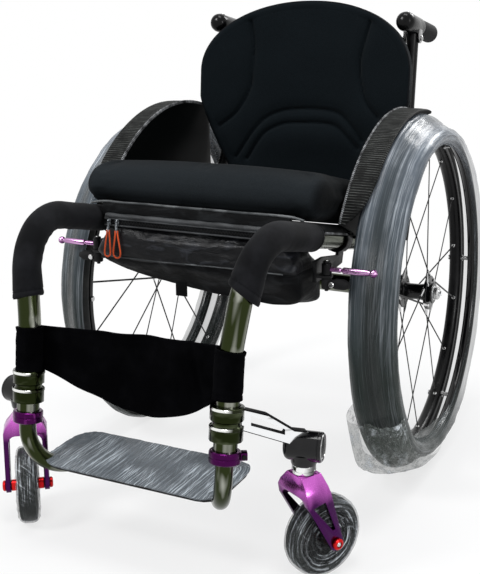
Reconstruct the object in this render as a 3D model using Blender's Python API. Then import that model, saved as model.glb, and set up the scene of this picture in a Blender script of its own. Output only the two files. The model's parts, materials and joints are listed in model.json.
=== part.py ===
"""Active wheelchair with a rigid frame, in metres, +Z up, front towards -Y, the user's left towards +X.

The origin is on the floor, under the middle of the chair. Distances called "ahead" are counted forwards from the
rear axle, and distances called "down the leg" from the knee where each front leg turns straight.
"""

import math

import bmesh
import bpy
from mathutils import Matrix, Vector

# Fits
SEAT_GAP = 0.0003
RUNNING_GAP = 0.0006

# Rear wheels
TYRE_R = 0.2965
TYRE_SECTION_R = 0.0125
TYRE_SIDES = 7
CAMBER = math.radians(2.0)
HUB_X = 0.2458
RIM_DEPTH = 0.0150
RIM_LIP_IN = 0.0215
RIM_HALF_WIDTH = 0.0115
RIM_WALL = 0.0020
HANDRIM_IN = 0.0321
HANDRIM_SECTION_R = 0.0100
HANDRIM_OUT = 0.0345
HANDRIM_TABS = 6
HANDRIM_TAB_R = 0.0036
HANDRIM_TAB_IN = 0.0280
SPOKES = 16
SPOKE_WIDTH = 0.0034
SPOKE_THICKNESS = 0.0016
NIPPLE_LENGTH = 0.016
NIPPLE_WIDTH = 0.0046
NIPPLE_DEPTH = 0.0034
SPOKE_LEAD = math.radians(62.0)
HUB_INNER = 0.0300
HUB_OUTER = 0.0330
HUB_BARREL_R = 0.0150
HUB_END_R = 0.0185
INNER_FLANGE_AT = -0.0210
OUTER_FLANGE_AT = 0.0240
FLANGE_R = 0.0290
FLANGE_HALF = 0.0028
SPOKE_CIRCLE_R = 0.0250
AXLE_PIN_R = 0.00635
AXLE_PIN_DEPTH = 0.086
AXLE_HEAD_R = 0.0110
AXLE_HEAD = 0.0085
BUTTON_R = 0.0045
BUTTON_OUT = 0.0050
BUTTON_LENGTH = 0.0090
WHEEL_STEPS = 32

# Casters
STEER_X = 0.2360
STEER_AHEAD = 0.4630
CASTER_R = 0.0570
CASTER_HALF_WIDTH = 0.0130
CASTER_RIM_R = 0.0430
CASTER_HUB_R = 0.0140
CASTER_HUB_HALF = 0.0150
CASTER_STEPS = 20
TRAIL = 0.0330
CASTER_TURN = {"left": -0.52, "right": -2.50}
FORK_TOP = 0.1606
FORK_CROWN_R = 0.0165
FORK_SHOULDER = 0.1400
FORK_HALF_WIDTH = 0.0330
FORK_LEG = 0.0075
FORK_ARCH = 0.1330
FORK_EYE_R = 0.0110
STEM_R = 0.0060
STEM_LENGTH = 0.0400
BEARING_R = 0.0165
BEARING_HEIGHT = 0.0130
BARREL_R = 0.0210
BARREL_HALF = 0.0260
BARREL_Z = 0.1990
BARREL_TURN = math.radians(10.0)
CASTER_BOLT_R = 0.0040
CASTER_NUT_R = 0.0075
CASTER_NUT = 0.0050
SPACER_R = 0.0085

# Side tubes: a seat rail, a bend and a front leg in one piece
TUBE_R = 0.0160
TUBE_WALL = 0.0030
RAIL_X = 0.1800
RAIL_Z = 0.3790
SEAT_DUMP = math.radians(12.5)
RAIL_BEHIND = 0.0800
BEND_AHEAD = 0.4990
BEND_R = 0.0840
KNEE_X = 0.1595
KNEE_AHEAD = 0.5275
KNEE_Z = 0.3350
KNEE_R = 0.2500
LEG_LEAN = math.radians(8.0)
LEG_LENGTH = 0.1400
LEG_BORE_TOP = 0.0020
TUBE_SIDES = 12
BEND_STEPS = 6
FOOT_BEND_STEPS = 4

# Rear axle and cross tubes
AXLE_TUBE_HALF = 0.1960
AXLE_TUBE_R = 0.0160
AXLE_TUBE_WALL = 0.0030
PLUG_LENGTH = 0.0450
PLUG_FLANGE_R = 0.0190
PLUG_FLANGE = 0.0050
PLUG_NOSE_R = 0.0120
CROSS_TUBE_R = 0.0125
CROSS_TUBE_WALL = 0.0020
CROSS_TUBE_AHEAD = 0.1400
CLAMP_WALL = 0.0045
AXLE_CLAMP_X = 0.1520
AXLE_CLAMP_LENGTH = 0.0440

# Leg fittings
ARM_CLAMP_TOP = 0.0650
ARM_CLAMP_LENGTH = 0.0460
ARM_CLAMP_R = 0.0225
ARM_GROOVE_R = 0.0195
ARM_GROOVE = 0.0050
ARM_THICKNESS = 0.0140
COLLAR_AT = 0.1330
COLLAR_R = 0.0215
COLLAR_HEIGHT = 0.0170
COLLAR_LUG = 0.0090

# Footrest
FOOT_TUBE_R = 0.0122
FOOT_TUBE_TOP = 0.0350
FOOT_BAR_Z = 0.1150
FOOT_BEND_R = 0.0300
FOOT_ELBOW_R = 0.0650
FOOT_RUN_IN = 0.0500
FOOT_RUN_BACK = 0.0870
PLATE_THICKNESS = 0.0050
PLATE_HALF_WIDTH = 0.1440
PLATE_FRONT = 0.5460
PLATE_DEPTH = 0.1220
PLATE_CORNER_R = 0.0300

# Seat
SLING_THICKNESS = 0.0042
SLING_FRONT = 0.3360
SLING_BEHIND = 0.0300
CUSHION_HALF_WIDTH = 0.1980
CUSHION_FRONT = 0.3380
CUSHION_LENGTH = 0.3700
CUSHION_THICKNESS = 0.0620
CUSHION_CROWN = 0.0040
CUSHION_DRAWN = 0.0030
CUSHION_ROLL = 0.0280
BAG_HALF_WIDTH = 0.1720
BAG_NECK_HALF_WIDTH = 0.1500
BAG_FRONT = 0.3400
BAG_DEPTH = 0.1100
BAG_TOP = 0.0030
BAG_SHOULDER = -0.0200
BAG_BOTTOM = -0.0980
ZIP_DROP = -0.0040
ZIP_HALF_LENGTH = 0.1485
ZIP_HEIGHT = 0.0080
ZIP_PROUD = 0.0012
PULL_WIDTH = 0.0080
PULL_DEPTH = 0.0050
PULL_HEIGHT = 0.0110
LOOP_CORD_R = 0.0013
LOOP_LENGTH = 0.0400
LOOP_WIDTH = 0.0100
PULL_X = {"right": -0.1425, "left": -0.1275}

# Covers on the tubes
COVER_THICKNESS = 0.0046
COVER_BEHIND = 0.3060
COVER_HEM = 0.3680
STRAP_THICKNESS = 0.0024
STRAP_TOP = 0.3380
STRAP_BOTTOM = 0.2770
STRAP_LOBE = 0.0530
STRAP_LEAN = 0.0250
STRAP_BILLOW = 0.0160
STRAP_COLUMNS = 16
STRAP_ROWS = 4

# Side guards
GUARD_X = 0.2032
GUARD_THICKNESS = 0.0026
GUARD_OVER_TYRE = 0.0115
GUARD_LIP_WIDTH = 0.0400
GUARD_FRONT = math.radians(50.0)
GUARD_BACK = math.radians(-19.0)
GUARD_BRACKET_AHEAD = 0.0700
GUARD_BRACKET_LENGTH = 0.0300

# Brakes
BRAKE_CLAMP_BEHIND = 0.0940
BRAKE_CLAMP_LENGTH = 0.0200
BRAKE_PLATE_X = 0.1860
BRAKE_PLATE = 0.0050
BRAKE_PIVOT_X = 0.1990
BRAKE_IN_TYRE = 0.0015
BRAKE_ROD_Z = 0.4000
BRAKE_ROD_R = 0.0048
BRAKE_ROD_END = 0.2760
BRAKE_BOSS_R = 0.0075
BRAKE_BOSS = 0.0170
BRAKE_BOLT_R = 0.0030
BRAKE_LEVER_R = 0.0080
BRAKE_LEVER_END = 0.2440

# Backrest
HINGE_BEHIND = 0.0620
HINGE_Z = 0.4120
HINGE_PIN_R = 0.0040
LUG_HALF = 0.0120
EAR = 0.0045
BRACKET_LENGTH = 0.0300
BACK_BOTTOM = 0.4700
BACK_TOP = 0.7770
BACK_HALF_WIDTH = 0.2000
BACK_FOOT_HALF_WIDTH = 0.1380
BACK_ROUNDING = 0.1220
BACK_STRAIGHT = 0.0450
BACK_FRONT_BEHIND = 0.0930
BACK_RECLINE = math.radians(5.0)
BACK_HOLLOW = 0.0320
BACK_PAD_THICKNESS = 0.0290
SHELL_THICKNESS = 0.0030
SHELL_INSET = 0.0080
SHELL_GAP = 0.0014
POST_R = 0.0105
POST_BEHIND = 0.1500
POST_DROP = 0.0570
POST_KNEE_BEHIND = 0.1300
POST_KNEE_Z = 0.5000
POST_BEND_R = 0.0700
RIGIDIZER_Z = 0.5400
RIGIDIZER_R = 0.0090
LUG_DROP = 0.0450
LUG_SPACING = 0.1000
BACK_LUG_R = 0.0070

# Push handles
HANDLE_BOLT_DROP = 0.0075
HANDLE_BOLT_R = 0.0030
HANDLE_CHEEK_IN = 0.0112
HANDLE_CHEEK_OUT = 0.0150
GRIP_R = 0.0165
GRIP_RISE = 0.0220
GRIP_AHEAD = 0.0600
GRIP_BEHIND = 0.1020
GRIP_SLOPE = math.radians(9.0)

SIDES = (("left", 1), ("right", -1))
RIM_WALL_R = TYRE_R - RIM_LIP_IN
RIM_INNER_R = RIM_WALL_R - RIM_DEPTH
HANDRIM_R = TYRE_R - HANDRIM_IN
HANDRIM_TAB_AT_R = TYRE_R - HANDRIM_TAB_IN
GUARD_LIP_R = TYRE_R + GUARD_OVER_TYRE
BRAKE_PIVOT_AHEAD = TYRE_R - BRAKE_IN_TYRE
BRAKE_CLAMP_AHEAD = BRAKE_PIVOT_AHEAD - BRAKE_CLAMP_BEHIND
BACK_ROUND_FROM = BACK_TOP - BACK_ROUNDING
BACK_SQUARE_FROM = BACK_ROUND_FROM - BACK_STRAIGHT
POST_TOP = BACK_TOP - POST_DROP
POST_KNEE = (POST_KNEE_BEHIND, POST_KNEE_Z)
LUG_ROWS = (POST_TOP - LUG_DROP - LUG_SPACING, POST_TOP - LUG_DROP)
KNEE = (KNEE_X, KNEE_AHEAD, KNEE_Z)
AXLE_Z = (TYRE_R - TYRE_SECTION_R) * math.cos(CAMBER) + TYRE_SECTION_R
LEG_DOWN = Vector((0, -math.sin(LEG_LEAN), -math.cos(LEG_LEAN)))
RAIL_FORWARD = Vector((0, -math.cos(SEAT_DUMP), math.sin(SEAT_DUMP)))
RAIL_UP = Vector((0, math.sin(SEAT_DUMP), math.cos(SEAT_DUMP)))
COLLAR_AHEAD = KNEE[1] + COLLAR_AT * math.sin(LEG_LEAN)
AXLE_Y = (COLLAR_AHEAD + COLLAR_R - TYRE_R) / 2
CLAMP_R = TUBE_R + SEAT_GAP + CLAMP_WALL
SLING_WRAP = (math.radians(-35), math.radians(90), 4)
SLING_UNDER = (TUBE_R + SEAT_GAP) / math.cos((SLING_WRAP[1] - SLING_WRAP[0]) / SLING_WRAP[2] / 2)


def spot(x, ahead, z):
    """A point given by its distance ahead of the rear axle."""
    return Vector((x, AXLE_Y - ahead, z))


def rail_spot(side, ahead):
    return spot(side * RAIL_X, ahead, RAIL_Z + math.tan(SEAT_DUMP) * ahead)


def leg_spot(side, down):
    return spot(side * KNEE[0], KNEE[1], KNEE[2]) + LEG_DOWN * down


# Materials
def finish(name, colour, roughness, metallic):
    material = bpy.data.materials.new(name)
    material.use_nodes = True
    shader = material.node_tree.nodes["Principled BSDF"]
    shader.inputs["Base Color"].default_value = (*colour, 1.0)
    shader.inputs["Roughness"].default_value = roughness
    shader.inputs["Metallic"].default_value = metallic
    material.diffuse_color = (*colour, 1.0)
    return material


FINISHES = {
    "frame_metal": ((0.16, 0.16, 0.11), 0.22, 1.0),
    "chrome": ((0.75, 0.76, 0.78), 0.12, 1.0),
    "black_metal": ((0.02, 0.02, 0.02), 0.30, 1.0),
    "black_gloss": ((0.01, 0.01, 0.01), 0.12, 0.0),
    "purple": ((0.30, 0.03, 0.32), 0.25, 1.0),
    "red": ((0.55, 0.02, 0.02), 0.30, 1.0),
    "rubber": ((0.035, 0.035, 0.035), 0.75, 0.0),
    "grey_rubber": ((0.20, 0.21, 0.21), 0.60, 0.0),
    "carbon": ((0.02, 0.025, 0.02), 0.25, 0.0),
    "neoprene": ((0.015, 0.015, 0.02), 0.85, 0.0),
    "mesh_fabric": ((0.012, 0.012, 0.015), 0.90, 0.0),
    "nylon": ((0.012, 0.012, 0.014), 0.60, 0.0),
    "orange_cord": ((0.85, 0.20, 0.05), 0.60, 0.0),
}


# Objects
def joined_to(obj, parent):
    if parent is not None:
        obj.parent = parent
    return obj


def solid(name, shape, material, parent=None):
    """An object from a bmesh, with its faces pointing out and its round sides shaded smooth."""
    bmesh.ops.remove_doubles(shape, verts=shape.verts, dist=1e-6)
    bmesh.ops.recalc_face_normals(shape, faces=shape.faces)
    mesh = bpy.data.meshes.new(name)
    shape.to_mesh(mesh)
    shape.free()
    mesh.shade_smooth()
    mesh.set_sharp_from_angle(angle=math.radians(35))
    mesh.materials.append(bpy.data.materials[material])
    obj = bpy.data.objects.new(name, mesh)
    bpy.context.scene.collection.objects.link(obj)
    return joined_to(obj, parent)


def tool(name, shape, parent=None):
    """A shape that only cuts or joins another one, left out of a render."""
    obj = solid(name, shape, "black_metal", parent)
    obj.hide_render = True
    obj.display_type = "WIRE"
    return obj


def combine(obj, other, operation):
    modifier = obj.modifiers.new(other.name, "BOOLEAN")
    modifier.operation = operation
    modifier.object = other
    modifier.solver = "EXACT"


def cut(obj, shape, name="cut", parent=None):
    combine(obj, tool(f"{obj.name}_{name}", shape, parent), "DIFFERENCE")


def join(obj, shape, name="joined", parent=None):
    combine(obj, tool(f"{obj.name}_{name}", shape, parent), "UNION")


def pivot(name, place, turn=(0, 0, 0), parent=None):
    empty = bpy.data.objects.new(name, None)
    empty.location = place
    empty.rotation_euler = turn
    empty.empty_display_size = 0.02
    bpy.context.scene.collection.objects.link(empty)
    return joined_to(empty, parent)


# Shapes
def axis_matrix(start, direction):
    """Moves a shape from the origin to start, and its Z axis on to direction."""
    return Matrix.Translation(start) @ Vector(direction).to_track_quat("Z", "Y").to_matrix().to_4x4()


def turned(profile, steps, closed=False):
    """A profile of (radius, height) points spun round Z. A closed one makes a ring."""
    shape = bmesh.new()
    verts = [shape.verts.new((radius, 0, height)) for radius, height in profile]
    pairs = list(zip(verts, verts[1:])) + ([(verts[-1], verts[0])] if closed else [])
    edges = [shape.edges.new(pair) for pair in pairs]
    bmesh.ops.spin(
        shape, geom=verts + edges, axis=(0, 0, 1), cent=(0, 0, 0), angle=math.tau, steps=steps, use_merge=True
    )
    bmesh.ops.remove_doubles(shape, verts=shape.verts, dist=1e-6)
    return shape


def rod(start, end, radius, steps=12, end_radius=None):
    start, end = Vector(start), Vector(end)
    shape = bmesh.new()
    bmesh.ops.create_cone(
        shape,
        cap_ends=True,
        segments=steps,
        radius1=radius,
        radius2=radius if end_radius is None else end_radius,
        depth=(end - start).length,
        matrix=axis_matrix((start + end) / 2, end - start),
    )
    return shape


def spun(profile, start, direction, steps, closed=False):
    shape = turned(profile, steps, closed)
    shape.transform(axis_matrix(start, direction))
    return shape


def plate(outline, depth):
    """A flat outline of 3-D points, made thick by the vector depth."""
    shape = bmesh.new()
    face = shape.faces.new([shape.verts.new(point) for point in outline])
    made = bmesh.ops.extrude_face_region(shape, geom=[face])
    moved = [item for item in made["geom"] if isinstance(item, bmesh.types.BMVert)]
    bmesh.ops.translate(shape, verts=moved, vec=depth)
    bmesh.ops.recalc_face_normals(shape, faces=shape.faces)
    return shape


def softened(shape, width, steps=1, above=30.0):
    """Bevels every edge that is sharper than an angle in degrees."""
    edges = [edge for edge in shape.edges if edge.calc_face_angle(0) > math.radians(above)]
    bmesh.ops.bevel(
        shape,
        geom=edges,
        offset=width,
        segments=steps,
        profile=0.5,
        affect="EDGES",
        clamp_overlap=True,
        material=-1,
    )
    return shape


def arc(centre, radius, start, end, steps):
    """Points of a circular arc in a plane, angles in radians from the first axis."""
    return [
        (
            centre[0] + radius * math.cos(start + (end - start) * i / steps),
            centre[1] + radius * math.sin(start + (end - start) * i / steps),
        )
        for i in range(steps + 1)
    ]


def rounded(corners, radii, steps):
    """A path through corners, each inner corner replaced by an arc."""
    corners = [Vector(corner) for corner in corners]
    path = [corners[0]]
    for before, corner, after, radius in zip(corners, corners[1:], corners[2:], radii):
        back = (before - corner).normalized()
        on = (after - corner).normalized()
        half = back.angle(on) / 2
        centre = corner + (back + on).normalized() * radius / math.sin(half)
        first = corner + back * radius / math.tan(half) - centre
        last = corner + on * radius / math.tan(half) - centre
        normal = first.cross(last).normalized()
        turn = first.angle(last)
        count = max(2, round(steps * turn / math.pi * 2))
        path += [centre + Matrix.Rotation(turn * i / count, 3, normal) @ first for i in range(count + 1)]
    return path + [corners[-1]]


def part_of(path, start, end):
    """The stretch of a path between two distances along it."""
    points, walked = [], 0.0
    for here, there in zip(path, path[1:]):
        length = (there - here).length
        for at in (start, end):
            if walked <= at < walked + length:
                points.append(here.lerp(there, (at - walked) / length))
        if start < walked + length < end:
            points.append(there.copy())
        walked += length
    clear = [points[0]]
    for point in points[1:]:
        if (point - clear[-1]).length > 1e-5:
            clear.append(point)
    return clear


def length_to(path, axis, value):
    """How far along a path a coordinate last passes a value."""
    walked, found = 0.0, 0.0
    for here, there in zip(path, path[1:]):
        length = (there - here).length
        low, high = sorted((here[axis], there[axis]))
        if low <= value < high:
            found = walked + length * (value - here[axis]) / (there[axis] - here[axis])
        walked += length
    return found


def ring_frames(path):
    """A matrix at each point of a path, its Z along the path, with no twist from one to the next."""
    frames = []
    across = None
    for i, point in enumerate(path):
        ways = [(b - a).normalized() for a, b in zip(path[max(0, i - 1) : i + 1], path[i : i + 2])]
        if 0 < i < len(path) - 1:
            ways = [(path[i] - path[i - 1]).normalized(), (path[i + 1] - path[i]).normalized()]
        elif i == 0:
            ways = [(path[1] - path[0]).normalized()]
        else:
            ways = [(path[-1] - path[-2]).normalized()]
        along = sum(ways, Vector()).normalized()
        if across is None:
            across = along.orthogonal().normalized()
        across = (across - along * across.dot(along)).normalized()
        other = along.cross(across)
        frames.append(Matrix.Translation(point) @ Matrix((across, other, along)).transposed().to_4x4())
    return frames


def ring_of(frame, radius, sides):
    return [frame @ Vector((x, y, 0)) for x, y in arc((0, 0), radius, 0, math.tau, sides)[:-1]]


def swept(path, radius, sides, inner=0.0):
    """A round bar along a path, or a sleeve open at both ends."""
    frames = ring_frames(path)
    outside = [ring_of(frame, radius, sides) for frame in frames]
    if not inner:
        return lofted(outside)
    return lofted(outside + [ring_of(frame, inner, sides) for frame in frames][::-1], closed=True)


def lofted(slices, closed=False):
    """A form through loops of points, each loop with as many points as the next: with end faces, or a closed ring."""
    shape = bmesh.new()
    rows = [[shape.verts.new(point) for point in row] for row in slices]
    for row, after in zip(rows, rows[1:] + rows[:1] if closed else rows[1:]):
        for i in range(len(row)):
            j = (i + 1) % len(row)
            shape.faces.new((row[i], row[j], after[j], after[i]))
    if not closed:
        shape.faces.new(rows[0])
        shape.faces.new(rows[-1])
    return shape


def hole_radius(radius, steps, gap=SEAT_GAP):
    """The radius of a hole whose flats still clear a round piece."""
    return (radius + gap) / math.cos(math.pi / steps)


def hole_along(start, direction, reach, radius, steps=TUBE_SIDES):
    """A cutter for a hole that a round piece fits, reaching as far each way from start."""
    half = Vector(direction) * reach
    return rod(start - half, start + half, hole_radius(radius, steps), steps)


def collar(start, direction, length, steps=TUBE_SIDES):
    """A solid collar round a side tube, which still needs its hole."""
    half = Vector(direction) * length / 2
    return rod(start - half, start + half, CLAMP_R, steps)


def clamp_ring(start, direction, length, outer, bore, steps=16):
    """A ring round a tube, its length centred on start."""
    half = length / 2
    profile = [(bore, -half), (outer, -half), (outer, half), (bore, half)]
    return spun(profile, start, direction, steps, closed=True)


# Frame
def side_path(side):
    rail_end = rail_spot(side, -RAIL_BEHIND)
    bend = rail_spot(side, BEND_AHEAD)
    knee = leg_spot(side, 0)
    foot = leg_spot(side, LEG_LENGTH)
    return rounded((rail_end, bend, knee, foot), (BEND_R, KNEE_R), BEND_STEPS)


def side_tubes():
    for word, side in SIDES:
        obj = solid(f"side_tube_{word}", swept(side_path(side), TUBE_R, TUBE_SIDES), "frame_metal")
        top, foot = leg_spot(side, LEG_BORE_TOP), leg_spot(side, LEG_LENGTH + 0.010)
        cut(obj, rod(top, foot, TUBE_R - TUBE_WALL, TUBE_SIDES), "bore")


def wheel_axis(side):
    return Vector((side * math.cos(CAMBER), 0, math.sin(CAMBER)))


def hub_centre(side):
    return spot(side * HUB_X, 0, AXLE_Z)


def axle_tube():
    """The rear cross tube, with a plug in each end that sets the camber and takes the axle pin."""
    middle = spot(0, 0, AXLE_Z)
    bore = AXLE_TUBE_R - AXLE_TUBE_WALL
    inner = AXLE_TUBE_HALF - PLUG_LENGTH
    obj = solid(
        "axle_tube",
        rod(middle - Vector((AXLE_TUBE_HALF, 0, 0)), middle + Vector((AXLE_TUBE_HALF, 0, 0)), AXLE_TUBE_R, 14),
        "frame_metal",
    )
    cut(obj, rod(middle - Vector((inner, 0, 0)), middle + Vector((inner, 0, 0)), bore, 12), "hollow")
    for word, side in SIDES:
        hub, out = hub_centre(side), wheel_axis(side)
        flange_end = middle + Vector((side * (AXLE_TUBE_HALF + PLUG_FLANGE), 0, 0))
        join(obj, rod(flange_end - Vector((side * 0.010, 0, 0)), flange_end, PLUG_FLANGE_R, 14), f"flange_{word}")
        nose_end = hub - out * (HUB_INNER + SEAT_GAP)
        join(obj, rod(nose_end - out * 0.030, nose_end, PLUG_NOSE_R, 12), f"nose_{word}")
        cut(obj, rod(hub - out * 0.150, hub, hole_radius(AXLE_PIN_R, 10), 10), f"bore_{word}")


def axle_clamps():
    """Each clamp hangs the rear axle tube under a seat rail."""
    for word, side in SIDES:
        inner = side * (AXLE_CLAMP_X + 0.010)
        outer = side * (RAIL_X + 0.010)
        rail = rail_spot(side, 0)
        low = spot(0, 0, AXLE_Z).yz
        reach = AXLE_TUBE_R + SEAT_GAP + CLAMP_WALL
        top = rail.z - TUBE_R - SEAT_GAP - 0.0005
        outline = [
            Vector((inner, low.x + y, low.y + z))
            for y, z in arc((0, 0), reach, math.radians(160), math.radians(380), 8)
        ]
        outline += [
            Vector((inner, low.x + AXLE_CLAMP_LENGTH * 0.36, top - 0.010)),
            Vector((inner, low.x + AXLE_CLAMP_LENGTH / 2, top + 0.014)),
            Vector((inner, low.x - AXLE_CLAMP_LENGTH / 2, top + 0.014)),
            Vector((inner, low.x - AXLE_CLAMP_LENGTH * 0.36, top - 0.010)),
        ]
        shape = softened(plate(outline, Vector((outer - inner, 0, 0))), 0.0012, above=50)
        obj = solid(f"axle_clamp_{word}", shape, "black_metal")
        join(obj, collar(rail, RAIL_FORWARD, AXLE_CLAMP_LENGTH), "saddle")
        cut(obj, hole_along(spot(side * 0.17, 0, AXLE_Z), (1, 0, 0), 0.05, AXLE_TUBE_R, 14), "axle_hole")
        cut(obj, hole_along(rail, RAIL_FORWARD, 0.06, TUBE_R), "rail_hole")


def seat_cross_tube():
    centre = rail_spot(0, CROSS_TUBE_AHEAD)
    half = Vector((RAIL_X, 0, 0))
    obj = solid("seat_cross_tube", rod(centre - half, centre + half, CROSS_TUBE_R, 12), "frame_metal")
    cut(obj, rod(centre - half * 2, centre + half * 2, CROSS_TUBE_R - CROSS_TUBE_WALL, 10), "hollow")
    for word, side in SIDES:
        rail = rail_spot(side, CROSS_TUBE_AHEAD)
        cut(obj, hole_along(rail, RAIL_FORWARD, 0.05, TUBE_R), f"saddle_{word}")


def backrest_brackets():
    """A ring on the end of each rail, with two ears that hold the backrest's hinge lug."""
    for word, side in SIDES:
        rail = rail_spot(side, -HINGE_BEHIND)
        hinge = spot(side * RAIL_X, -HINGE_BEHIND, HINGE_Z)
        obj = solid(
            f"backrest_bracket_{word}",
            collar(rail, RAIL_FORWARD, BRACKET_LENGTH),
            "black_metal",
        )
        for way in (-1, 1):
            x = hinge.x + way * (LUG_HALF + SEAT_GAP)
            outline = [
                Vector((x, hinge.y + y, hinge.z + z))
                for y, z in arc((0, 0), 0.0105, math.radians(-10), math.radians(190), 5)
            ]
            outline += [
                Vector((x, rail.y - 0.0140, rail.z + 0.0120)),
                Vector((x, rail.y + 0.0140, rail.z + 0.0120)),
            ]
            join(obj, plate(outline, Vector((way * EAR, 0, 0))), f"ear_{(way + 1) // 2}")
        cut(obj, hole_along(rail, RAIL_FORWARD, 0.05, TUBE_R), "rail_hole")
        ends = Vector((LUG_HALF + EAR + 0.0030, 0, 0))
        join(obj, rod(hinge - ends, hinge + ends, HINGE_PIN_R, 8), "pin")


# Leg fittings
def arm_way(side):
    steer = spot(side * STEER_X, STEER_AHEAD, 0)
    leg = leg_spot(side, ARM_CLAMP_TOP + ARM_CLAMP_LENGTH / 2)
    across = Vector((steer.x - leg.x, steer.y - leg.y, 0))
    return leg, across.normalized(), across.length


def caster_arms():
    """A split clamp on the leg, with a slotted arm that carries the caster housing."""
    for word, side in SIDES:
        leg, way, reach = arm_way(side)
        half, groove = ARM_CLAMP_LENGTH / 2, ARM_GROOVE / 2
        profile = [
            (0, -half),
            (ARM_CLAMP_R, -half),
            (ARM_CLAMP_R, -groove - 0.002),
            (ARM_GROOVE_R, -groove),
            (ARM_GROOVE_R, groove),
            (ARM_CLAMP_R, groove + 0.002),
            (ARM_CLAMP_R, half),
            (0, half),
        ]
        obj = solid(f"caster_arm_{word}", spun(profile, leg, LEG_DOWN, 14), "chrome")
        thick = way.cross(Vector((0, 0, 1))) * ARM_THICKNESS
        start = Vector((leg.x, leg.y, 0)) - thick / 2

        def side_view(points):
            return [start + way * along + Vector((0, 0, z)) for along, z in points]

        barrel_top = BARREL_Z + BARREL_R
        outline = [
            (0.0170, leg.z + 0.0200),
            (0.0560, leg.z + 0.0050),
            (reach - 0.0160, barrel_top + 0.0060),
            (reach + 0.0040, barrel_top + 0.0010),
            (reach + 0.0040, BARREL_Z),
            (reach - 0.0180, BARREL_Z + 0.0050),
            (0.0660, leg.z - 0.0330),
            (0.0170, leg.z - 0.0110),
        ]
        join(obj, softened(plate(side_view(outline), thick), 0.0015, above=40), "arm")
        slot = [
            (0.0310, leg.z + 0.0080),
            (reach - 0.0300, leg.z - 0.0180),
            (reach - 0.0300, leg.z - 0.0260),
            (0.0310, leg.z - 0.0060),
        ]
        cut(obj, plate([point - thick for point in side_view(slot)], thick * 3), "slot")
        cut(obj, hole_along(leg, LEG_DOWN, 0.05, TUBE_R), "leg_hole")
        housing = barrel_shape(side, SEAT_GAP)
        cut(obj, housing, "housing_seat")


def barrel_axis(side):
    return Vector((side * math.cos(BARREL_TURN), math.sin(BARREL_TURN), 0))


def barrel_shape(side, grown=0.0):
    centre = spot(side * STEER_X, STEER_AHEAD, BARREL_Z)
    radius, half = BARREL_R + grown, BARREL_HALF + grown
    profile = [(0, -half), (radius - 0.005, -half), (radius, -half + 0.005)]
    profile += [(radius, half - 0.003), (radius - 0.003, half), (0, half)]
    return spun(profile, centre, barrel_axis(side), 14)


def caster_housings():
    for word, side in SIDES:
        obj = solid(f"caster_housing_{word}", barrel_shape(side), "black_gloss")
        steer = spot(side * STEER_X, STEER_AHEAD, 0)
        low = FORK_TOP + SEAT_GAP + BEARING_HEIGHT + SEAT_GAP
        neck = [(0, low), (BEARING_R + 0.0010, low), (BARREL_R - 0.0005, BARREL_Z - 0.008), (0, BARREL_Z - 0.004)]
        join(obj, spun(neck, steer, (0, 0, 1), 14), "neck")
        stem_r = hole_radius(STEM_R, 10, RUNNING_GAP)
        stem_top = Vector((steer.x, steer.y, FORK_TOP + STEM_LENGTH + 0.001))
        cut(obj, rod(Vector((steer.x, steer.y, low - 0.01)), stem_top, stem_r, 10), "stem_hole")
        base = FORK_TOP + SEAT_GAP
        top = base + BEARING_HEIGHT
        ring = [(stem_r, base), (BEARING_R - 0.001, base), (BEARING_R, base + 0.001), (BEARING_R, top), (stem_r, top)]
        solid(f"caster_bearing_{word}", spun(ring, steer, (0, 0, 1), 14, closed=True), "chrome")


def height_collars():
    """Clamps that hold the footrest at its height, each with a screw lug at its outer back."""
    for word, side in SIDES:
        centre = leg_spot(side, COLLAR_AT)
        half = COLLAR_HEIGHT / 2
        profile = [(0, -half), (COLLAR_R - 0.0015, -half), (COLLAR_R, -half + 0.0015)]
        profile += [(COLLAR_R, half - 0.0015), (COLLAR_R - 0.0015, half), (0, half)]
        obj = solid(f"height_collar_{word}", spun(profile, centre, LEG_DOWN, 14), "purple")
        out = Vector((side, 0.6, 0)).normalized()
        across = out.cross(Vector((0, 0, 1))) * 0.012
        low = centre + out * (COLLAR_R - 0.003) - Vector((0, 0, 0.0055))
        high = low + Vector((0, 0, 0.011))
        corners = [low - across / 2, low + across / 2, high + across / 2, high - across / 2]
        join(obj, softened(plate(corners, out * (COLLAR_LUG + 0.003)), 0.0012), "screw_lug")
        cut(obj, hole_along(centre, LEG_DOWN, 0.03, TUBE_R), "leg_hole")


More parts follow.
